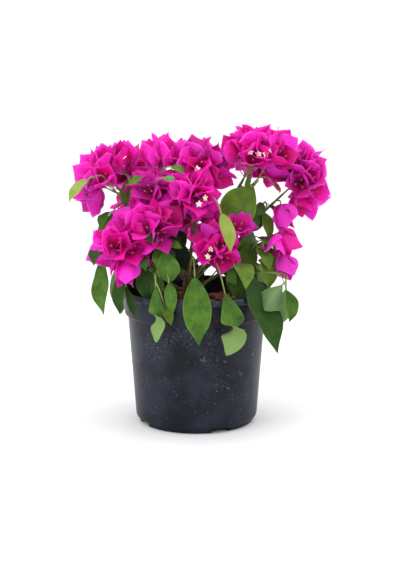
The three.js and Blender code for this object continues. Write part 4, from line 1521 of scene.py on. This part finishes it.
@dataclass
class Blossom:
    """The flowers: three bracts round three small tubes, in masses spread over the crown."""

    limbs: Frame
    twigs: Twigs
    length: float = 29.5
    width: float = 26.5
    thickness: float = 0.32
    spiral: float = 0.2
    keel: float = 0.22
    ruffle: float = 2.1
    rows: int = 11
    columns: int = 5
    sunk: float = 0.78
    least_depth: float = 0.2
    sway: float = 0.9
    lift_spread: float = 0.3
    least_size: float = 0.92
    size_spread: float = 0.26
    closed_size: float = 1.2
    open_loss: float = 0.28
    least_opening: float = 0.55
    opening_spread: float = 0.45
    stalk_middle: float = 0.55
    stalk_reach: float = 0.4
    stalk_span: tuple[float, float] = (0.15, 0.95)
    stalk_pull: float = 0.6
    stalk_radius: float = 0.62
    stalk_bow: float = 0.08
    bare_back: float = -0.8
    spacing: float = 13.8
    tube_length: float = 16
    tube_sides: int = 6
    tube_spread: float = 0.3
    tube_bow: float = 1.2
    tube_radii: tuple[float, ...] = (0.55, 0.9, 0.75, 0.85, 1.15)
    star_points: int = 20
    star_radii: tuple[float, ...] = (0, 0.8, 1.9, 3.1, 1.9, 0.8, 0)
    star_lobes: tuple[float, ...] = (0, 0, 0.2, 0.34, 0.2, 0, 0)
    star_rises: tuple[float, ...] = (-0.3, 0.1, 0.7, 0.9, 1.1, 0.5, 0.2)
    tint_deal: tuple[BractTint, ...] = (
        BractTint.BRIGHT, BractTint.BRIGHT, BractTint.ROSE,
        BractTint.BRIGHT, BractTint.ROSE, BractTint.DEEP,
    )
    tint_stir: float = 613  # spreads a flower's own number over the tints
    opening_stir: float = 7  # and over the openings
    stalk_overlap: float = 0.5
    rule_seed: int = 2000  # of the numbers that the solids grow by too
    own_seed: int = 5000
    grown: list[Array] = field(default_factory=list)

    def flowers(self, bloom: Bloom, index: int) -> Iterator[Flower]:
        """The flowers of a mass, spread evenly over its outside by the rule of the solids.

        A second, finer spread fills the places that the first leaves free. A flower that would crowd
        another or show in an opening of the crown isn't grown.

        Args:
            bloom: the mass.
            index: its place in the list, which seeds its random numbers.

        Yields:
            Each flower.
        """
        random, own = Stream(self.rule_seed + index), Stream(self.own_seed + index)
        stem = self.limbs.stems[bloom.name]
        centre, inward = np.array(bloom.centre, dtype=float), stem.heading(1.0)
        phase = random() * FULL_TURN
        for finer in (1, 2):
            count = bloom.flowers * finer
            for number in range(count):
                height = 1 - 2 * (number + 0.5) / count
                angle = phase + (finer - 1) + number * GOLDEN_TURN
                flat = math.sqrt(1 - height * height)
                out = np.array([flat * math.cos(angle), flat * math.sin(angle), height])
                lift = bloom.lift + self.lift_spread * (random() - 0.5)
                turn = random() * FULL_TURN
                size = self.least_size + self.size_spread * random()
                size *= self.closed_size - self.open_loss * bloom.opening
                along = float(out @ inward)
                far = Frame.reach(bloom.radii, out)
                foot = centre + out * max(far - self.length * self.sunk, far * self.least_depth)
                share = np.clip(self.stalk_middle + self.stalk_reach * along, *self.stalk_span)
                start = stem.at(float(share))
                sway = np.array([own() - 0.5, own() - 0.5, own() - 0.5]) * self.sway
                axis = unit(out + UP * lift + unit(foot - start) * self.stalk_pull + sway)
                middle = foot + axis * self.length / 2
                crowded = any(np.linalg.norm(middle - other) < self.spacing for other in self.grown)
                in_gap = any(opening.shows(middle) for opening in OPENINGS)
                if along < self.bare_back or crowded or in_gap:
                    continue
                self.grown.append(middle)
                yield Flower(start, foot, axis, turn, size, own())

    def bracts(self, flower: Flower, opening: Array) -> Array:
        """The middle surfaces of the three bracts of each flower.

        Along u a bract leaves its foot at a wide angle to the axis, bends in to make a lantern, and turns
        out at the tip. Its half width is u to the power 0.6 times (1 - u) to the power 0.8, drawn in to a
        point over the last two fifths. Across v it is an arc that hugs the axis near the foot and bends
        back at the tip, keeled along its midrib, with a wavy margin.

        Args:
            flower: the flowers.
            opening: from 0, a closed lantern, to 1, wide open.

        Returns:
            Three grids for each flower.
        """
        u, v = np.linspace(0, 1, self.rows), np.linspace(-1, 1, self.columns)
        out = flower.spokes()
        axis = np.broadcast_to(flower.axis[:, None], out.shape)
        side = np.cross(axis, out)
        opening, size, turn = (part[:, None, None] for part in (opening, flower.size, flower.turn))
        bend = np.sin(np.pi * np.minimum(u, 0.62) / 1.24)
        angle = 1.1 - 0.05 * opening + bend * (-1.3 + 1.05 * opening) + (0.4 + 0.35 * opening) * u**4
        step = self.length / (self.rows - 1) * size
        middle = (angle[..., 1:] + angle[..., :-1]) / 2
        start = np.zeros((*angle.shape[:2], 1))
        radius = np.concatenate([start, np.cumsum(np.sin(middle) * step, axis=-1)], axis=-1)
        height = np.concatenate([start, np.cumsum(np.cos(middle) * step, axis=-1)], axis=-1)
        outline = (u + 0.01) ** 0.6 * (1 - u + 0.002) ** 0.8 * (1 - 0.5 * eased(u, 0.62, 1))
        half = self.width / 2 * size * outline / outline.max()
        hug = ((0.085 - 0.05 * opening) * (1 - u) - 0.014 * u + 1e-4)[..., None]
        arc = half[..., None] * hug * v
        beside = np.sin(arc) / hug
        inward = (1 - np.cos(arc)) / hug + self.keel * np.abs(beside) * u[:, None]
        wave = np.sin(FULL_TURN * (1.4 * u[:, None] + 0.31 * v) + turn[..., None] * 3)
        inward = inward + self.ruffle * wave * v**2 * np.sin(np.pi * u)[:, None] ** 0.5
        beside, inward = np.broadcast_arrays(beside, inward)
        lean, rise = math.cos(self.spiral), math.sin(self.spiral)
        beside, inward = beside * lean - inward * rise, inward * lean + beside * rise
        grid = (*out.shape[:2], self.rows)
        angle, radius, height = (np.broadcast_to(part, grid)[..., None] for part in (angle, radius, height))
        out, axis = out[:, :, None], axis[:, :, None]
        to_axis = np.sin(angle) * axis - np.cos(angle) * out
        rib = radius * out + height * axis + flower.foot[:, None, None]
        surface = rib[..., None, :] + beside[..., None] * side[:, :, None, None]
        surface = surface + inward[..., None] * to_axis[..., None, :]
        return surface.reshape(-1, self.rows, self.columns, 3)

    def tubes_of(self, flower: Flower) -> tuple[Array, Array, Array]:
        """The three tube flowers of each flower: lines that lean out from its axis and bow by a half sine.

        Args:
            flower: the flowers.

        Returns:
            The lines, and the point and direction of each mouth.
        """
        out = flower.spokes()
        way = unit(flower.axis[:, None] + out * self.tube_spread)
        share = np.linspace(0.02, 1, len(self.tube_radii))[None, None, :, None]
        length = self.tube_length * flower.size[:, None, None, None]
        line = flower.foot[:, None, None] + way[:, :, None] * length * share
        line = line + out[:, :, None] * self.tube_bow * np.sin(np.pi * share)
        return line.reshape(-1, len(self.tube_radii), 3), line[:, :, -1].reshape(-1, 3), way.reshape(-1, 3)

    def stars(self, mouth: Array, way: Array) -> Array:
        """Five-lobed stars: a shallow closed funnel whose radius swings five times round.

        Args:
            mouth: the point of each tube's mouth.
            way: the direction of each.

        Returns:
            One grid for each star.
        """
        bearing = np.linspace(0, FULL_TURN, self.star_points, endpoint=False)
        radii, lobes, rises = np.array([self.star_radii, self.star_lobes, self.star_rises])[..., None]
        radius = radii * (1 + lobes * np.cos(5 * bearing))
        rise = np.broadcast_to(rises, radius.shape)
        across = across_of(way)
        beside = np.cross(way, across)
        flat = across[:, None, None] * np.cos(bearing)[:, None]
        flat = flat + beside[:, None, None] * np.sin(bearing)[:, None]
        return mouth[:, None, None] + flat * radius[..., None] + way[:, None, None] * rise[..., None]

    def grow(self, bloom: Bloom, index: int, papers: GridMesh, corollas: GridMesh) -> None:
        """Grows one mass.

        Args:
            bloom: the mass.
            index: its place in the list.
            papers: takes the bracts.
            corollas: takes the tube flowers and the open stars.
        """
        rows = list(self.flowers(bloom, index))
        flower = Flower(*(np.stack(column) for column in zip(*rows)))
        tints = list(BractTint)
        deal = np.array([tints.index(tint) for tint in self.tint_deal])
        dealt = deal[(flower.own * self.tint_stir % len(deal)).astype(int)]
        tint = np.repeat(np.where(flower.own < bloom.violet, tints.index(BractTint.VIOLET), dealt), 3)
        chance = flower.own * self.opening_stir % 1
        opening = (self.least_opening + chance * self.opening_spread) * bloom.opening
        surface = self.bracts(flower, opening)
        papers.add_sheets(surface, self.thickness, tint, tint + len(tints))
        bow = UP * self.stalk_bow * np.linalg.norm(flower.foot - flower.start, axis=1)[:, None]
        end = flower.foot + flower.axis * self.stalk_overlap
        self.twigs.add_stalks(flower.start, end, bow, Skin.FLUSHED, self.stalk_radius)
        line, mouth, way = self.tubes_of(flower)
        radii = np.tile(self.tube_radii, (len(line), 1))
        corollas.add(tubes(line, radii, self.tube_sides), Corolla.TUBE, around=True)
        facing = 1 if bloom.region is BACK else -1
        shown = np.argsort(-facing * (mouth[::3, 1] + self.length * flower.axis[:, 1]))[: bloom.stars]
        pair = (shown[:, None] * 3 + np.arange(2)).ravel()
        if len(pair):
            corollas.add(self.stars(mouth[pair], way[pair]), Corolla.STAR, around=True)

    def build(self) -> None:
        """Makes the bracts in one piece for each side of the crown, and the tube flowers in another."""
        finishes = [tint.outside() for tint in BractTint] + [tint.inside() for tint in BractTint]
        corollas = GridMesh()
        for region in Region:
            papers = GridMesh()
            members = [(index, bloom) for index, bloom in enumerate(BLOOMS) if bloom.region is region]
            members.sort(key=lambda member: member[1].solid)
            for index, bloom in members:
                self.grow(bloom, index, papers, corollas)
            nodes = [f"bloom_{bloom.name}" for _, bloom in members if bloom.solid]
            papers.make(f"bracts_{region.value}", finishes, "bract", nodes)
        # Small waxy stars of cream on tubes that flush pink.
        faint = {"size": 4, "span": (0.4, 0.7), "most": 0.5, "roughness": 0.5}
        cream = TwoTone("cream_corolla", "#f7f1d8", "#f3e2b4", **faint)
        flushed = TwoTone("flushed_tube", "#a83a6c", "#9a5652", **faint)
        corollas.make("tube_flowers", [cream, flushed], "bract")
        self.twigs.add_limbs(list(self.limbs.stems.values()))


class Leaf(NamedTuple):
    """A leaf, or arrays of many: where it starts, its way, the way it faces, its tint and its sizes."""

    start: Array
    along: Array
    face: Array
    tint: Array | int
    length: Array | float
    width: Array | float
    fold: Array | float
    hook: Array | float
    twist: Array | float
    point: Array | float
    stalk: Array | float
    swing: Array | float
    phase: Array | float


@dataclass
class Foliage:
    """The leaves: one long leaf that hangs from the end of each shoot, and smaller ones set round it."""

    limbs: Frame
    twigs: Twigs
    sag: float = 0.28
    leaf_turn: float = 0.3
    face_out: float = 1.2
    hang_share: float = 0.97
    shortest: float = 26
    longest: float = 48
    side_width: float = 0.46
    side_fold: float = 0.3
    side_point: float = 0.8
    side_stalk: float = 0.16
    side_top: float = 0.92
    side_span: float = 0.5
    side_rise: float = 0.45
    side_out: float = 0.3
    least_droop: float = 0.2
    droop_spread: float = 0.7
    least_share: float = 0.5
    share_spread: float = 0.28
    side_hook: float = -0.3
    hook_spread: float = 0.9
    side_twist: float = 0.8
    hook_span: tuple[float, float] = (0.46, 0.94)
    twist_span: tuple[float, float] = (0.42, 0.72)
    stalk_bow: float = 0.05
    usual_tints: tuple[LeafTint, ...] = (FRESH, DARK, OLIVE)
    own_tint: float = 0.4
    inner_lit: float = 0.25
    inner_reach: float = 52
    thickness: float = 0.5
    ripple: float = 0.03
    long_grid: tuple[int, int] = (22, 9)
    side_grid: tuple[int, int] = (9, 5)
    long_stalk: float = 0.95
    short_stalk: float = 0.62
    stalk_overlap: float = 0.8
    tint_stir: float = 97  # spreads a leaf's own number over the usual tints
    wave_stir: float = 20  # and over the phases of its waves
    rule_seed: int = 1000  # of the numbers that the solids grow by too
    own_seed: int = 6000

    def outward(self, mass: LeafMass) -> Array:
        """The level way that a shoot's leaves turn their upper sides: from the trunk to front or back."""
        x, y = self.limbs.trunk_foot
        return unit(np.array([(mass.tip[0] - x) * self.leaf_turn, mass.tip[1] - y, 0.0]))

    def facing(self, along: Array, outward: Array) -> Array:
        """The way that a leaf's upper side faces: up and outward, square to the leaf."""
        return square_to(along, UP + self.face_out * outward)

    def long_leaf(self, mass: LeafMass, index: int) -> Leaf:
        """The leaf that hangs from the end of a shoot.

        Args:
            mass: the mass of leaves.
            index: its place in the list, which sets the phase of the leaf's waves.

        Returns:
            The leaf.
        """
        start = self.limbs.shoots[mass.name].at(self.hang_share)
        drop = np.array(mass.tip) - start
        along, length = unit(drop), float(np.linalg.norm(drop))
        face = self.facing(along, self.outward(mass)) * (-1 if mass.turned else 1)
        form = (mass.width, mass.fold, mass.hook, mass.twist, mass.point, mass.stalk, mass.swing)
        return Leaf(start, along, face, list(LeafTint).index(mass.tint), length, *form, float(index))

    def side_leaves(self, mass: LeafMass, index: int) -> Iterator[Leaf]:
        """The side leaves of a shoot, set round it by turns by the rule of the solids.

        Args:
            mass: the mass of leaves.
            index: its place in the list, which seeds its random numbers.

        Yields:
            Each leaf.
        """
        random, own = Stream(self.rule_seed + index), Stream(self.own_seed + index)
        tints, usual = list(LeafTint), self.usual_tints
        shoot, outward = self.limbs.shoots[mass.name], self.outward(mass)
        span = float(np.linalg.norm(np.array(mass.tip) - shoot.at(1.0)))
        phase = random() * FULL_TURN
        for number in range(mass.side):
            share = self.side_top - self.side_span * number / mass.side
            axis, start = shoot.heading(share), shoot.at(share)
            droop = self.least_droop + self.droop_spread * random()
            length = span * (self.least_share + self.share_spread * random())
            length = float(np.clip(length, self.shortest, self.longest))
            around = turned_about(square_to(axis, UP), axis, phase + number * GOLDEN_TURN)
            along = unit(around + axis * self.side_rise + outward * self.side_out - UP * droop)
            chance = own()
            tint = mass.tint if chance < self.own_tint else usual[int(chance * self.tint_stir) % len(usual)]
            inside = math.dist(start[:2], self.limbs.trunk_foot) < self.inner_reach
            tint = SHADED if inside and chance > self.inner_lit else tint
            hook = self.side_hook - self.hook_spread * chance
            twist = self.side_twist * (chance - 0.5)
            face = self.facing(along, outward)
            yield Leaf(
                start, along, face, tints.index(tint), length, self.side_width, self.side_fold, hook, twist,
                self.side_point, self.side_stalk, swing=0.0, phase=chance * self.wave_stir,
            )

    def blades(self, leaf: Leaf, root: Array, grid: tuple[int, int]) -> Array:
        """The middle surfaces of leaves.

        Along u the midrib bends from its first direction by its hook, in towards the upper side or, below
        nought, under, about a hinge that its swing turns, and its own weight pulls it down by u squared.
        The half width is u to the power 0.95 times (1 - u) to the power of the point, drawn in to a drip
        tip. Across v the blade folds up from the midrib and waves at its margin, and a little past its
        middle it twists about the midrib.

        Args:
            leaf: the leaves.
            root: leaves by 3, where each blade starts.
            grid: points along and across.

        Returns:
            One grid for each leaf.
        """
        u, v = np.linspace(0, 1, grid[0]), np.linspace(-1, 1, grid[1])
        side = np.cross(leaf.along, leaf.face)[:, None]
        along, face = leaf.along[:, None], leaf.face[:, None]
        length, width, fold, hook, twist, point, stalk, swing, phase = (part[:, None] for part in leaf[4:])
        length, width = length * (1 - stalk), width / (1 - stalk)
        bend = (hook * eased(u, *self.hook_span))[..., None]
        toward, aside = np.cos(swing)[..., None], np.sin(swing)[..., None]
        lean, hinge = face * toward + side * aside, side * toward - face * aside
        ahead = np.cos(bend) * along + np.sin(bend) * lean
        lean = np.cos(bend) * lean - np.sin(bend) * along
        top, side = lean * toward - hinge * aside, lean * aside + hinge * toward
        step = (ahead[:, 1:] + ahead[:, :-1]) / 2 * (length / (grid[0] - 1))[..., None]
        rib = root[:, None] + np.concatenate([0 * ahead[:, :1], np.cumsum(step, axis=1)], axis=1)
        weight = self.sag * np.linalg.norm(along[..., :2], axis=-1)
        rib = rib - (weight * length * u**2)[..., None] * UP
        roll = (twist * eased(u, *self.twist_span))[..., None]
        across, top = side * np.cos(roll) + top * np.sin(roll), top * np.cos(roll) - side * np.sin(roll)
        outline = (u + 0.006) ** 0.95 * (1 - u + 0.002) ** point * (1 - 0.4 * eased(u, 0.7, 1))
        half = (length * width / 2 * outline / outline.max(axis=1, keepdims=True))[..., None]
        wave = np.sin(FULL_TURN * 1.6 * u[:, None] + phase[..., None] + 0.7 * v)
        wave = self.ripple * length[..., None] * v**2 * wave * np.sin(np.pi * u)[:, None]
        rise = fold[..., None] * half * np.abs(v) ** 1.4 + wave
        spread = (half * v)[..., None] * across[:, :, None]
        return rib[:, :, None] + spread + rise[..., None] * top[:, :, None]

    def lay(self, mesh: GridMesh, leaves: list[Leaf], grid: tuple[int, int], stalk_radius: float) -> None:
        """Adds leaves and their stalks.

        Args:
            mesh: takes the blades.
            leaves: the leaves.
            grid: points along and across each blade.
            stalk_radius: of each stalk.
        """
        leaf = Leaf(*(np.stack(column) for column in zip(*leaves)))
        stalk = (leaf.length * leaf.stalk)[:, None]
        root = leaf.start + leaf.along * stalk
        mesh.add_sheets(self.blades(leaf, root, grid), self.thickness, leaf.tint, leaf.tint + len(LeafTint))
        end = root + leaf.along * self.stalk_overlap
        self.twigs.add_stalks(leaf.start, end, UP * self.stalk_bow * stalk, Skin.GREEN, stalk_radius)

    def build(self) -> None:
        """Makes the leaves: the long hanging ones from fine grids and the side leaves from coarse ones."""
        mesh = GridMesh()
        numbered = list(enumerate(LEAVES))
        hanging = [self.long_leaf(mass, index) for index, mass in numbered]
        self.lay(mesh, hanging, self.long_grid, self.long_stalk)
        sides = [leaf for index, mass in numbered for leaf in self.side_leaves(mass, index)]
        self.lay(mesh, sides, self.side_grid, self.short_stalk)
        finishes = [tint.upper() for tint in LeafTint] + [tint.under() for tint in LeafTint]
        mesh.make("leaf_blades", finishes, "leaf", [f"leaves_{mass.name}" for mass in LEAVES if mass.solid])
        self.twigs.add_limbs(list(self.limbs.shoots.values()))


# The studio


@dataclass(frozen=True)
class Softbox:
    """A round soft lamp: its place and width in metres, and its power in watts."""

    name: str
    place: Triple
    width: float
    power: float


@dataclass
class Studio:
    """A white paper floor under soft light from all round, and a camera at the photograph's angle."""

    floor_half: float = 9000
    floor_points: int = 13
    target: Triple = (4, 0, 155)
    lens: float = 79.6
    sensor: float = 36
    sky: float = 1.08
    roof: float = 1.7
    roof_span: tuple[float, float] = (0.25, 0.9)
    lamps: tuple[Softbox, ...] = (
        Softbox("left_softbox", (-1.3, -1.1, 1.5), 1.4, 13),
        Softbox("right_softbox", (1.5, -0.6, 1.2), 1.2, 6),
        Softbox("top_softbox", (0.1, 0.3, 2.0), 1.6, 10),
    )

    def build(self) -> None:
        """Makes the floor, the world, the lamps and the camera."""
        scene = bpy.context.scene
        edge = np.linspace(-self.floor_half, self.floor_half, self.floor_points)
        x, y = np.meshgrid(edge, edge)
        floor = GridMesh()
        floor.add(np.stack([x, y, 0 * x], axis=-1)[None])
        # Background paper: matt and all but even.
        paper = TwoTone("matt_white_paper", "#dededf", "#dadadc", 120, (0.3, 0.7))
        floor.make("paper_floor", [paper])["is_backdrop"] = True
        scene.world = self.white_room()
        for softbox in self.lamps:
            lamp = bpy.data.lights.new(softbox.name, "AREA")
            lamp.shape = "DISK"
            lamp.size = softbox.width
            lamp.energy = softbox.power
            self.stand(bpy.data.objects.new(softbox.name, lamp), Vector(softbox.place))
        camera = bpy.data.cameras.new("camera")
        camera.lens = self.lens
        camera.sensor_width = self.sensor
        scene.camera = self.stand(bpy.data.objects.new("camera", camera), Vector(EYE * METRE))
        scene.view_settings.view_transform = "Standard"

    def white_room(self) -> bpy.types.World:
        """White light from all round, brighter overhead.

        Returns:
            The world that gives it.
        """
        world = bpy.data.worlds.new("white_room")
        world.use_nodes = True
        tree = world.node_tree
        level = add_node(tree, "SeparateXYZ", {0: add_node(tree, "TexCoord", {}, "Generated")}, "Z")
        overhead = {0: level, 1: self.roof_span[0], 2: self.roof_span[1], 3: self.sky, 4: self.roof}
        light = add_node(tree, "MapRange", overhead, interpolation_type="SMOOTHSTEP")
        feed(tree, tree.nodes["Background"], {"Color": linear("#ffffff"), "Strength": light})
        return world

    def stand(self, piece: bpy.types.Object, place: Vector) -> bpy.types.Object:
        """Stands a lamp or camera at a place, turned to the target.

        Args:
            piece: the lamp or camera.
            place: in metres.

        Returns:
            The same lamp or camera.
        """
        piece.location = place
        piece.rotation_euler = (Vector(self.target) * METRE - place).to_track_quat("-Z", "Y").to_euler()
        bpy.context.scene.collection.objects.link(piece)
        return piece


def write_sizes() -> None:
    """Works out the box of the solids and the box of the dressed plant, but writes them nowhere."""
    boxes = {"cad": CAD_BOX, "visual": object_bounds()}
    {name: [list(corner) for corner in box] for name, box in boxes.items()}


def main() -> None:
    """Builds the pot, the soil, the limbs, the blossom and the leaves, and sets the studio."""
    logging.basicConfig(level=logging.INFO, format="%(name)s %(message)s")
    pot = Pot()
    pot.build()
    Soil(pot).build()
    limbs = Frame()
    limbs.build()
    twigs = Twigs()
    Blossom(limbs, twigs).build()
    Foliage(limbs, twigs).build()
    twigs.build()
    Studio().build()
    write_sizes()


if __name__ == "__main__":
    main()
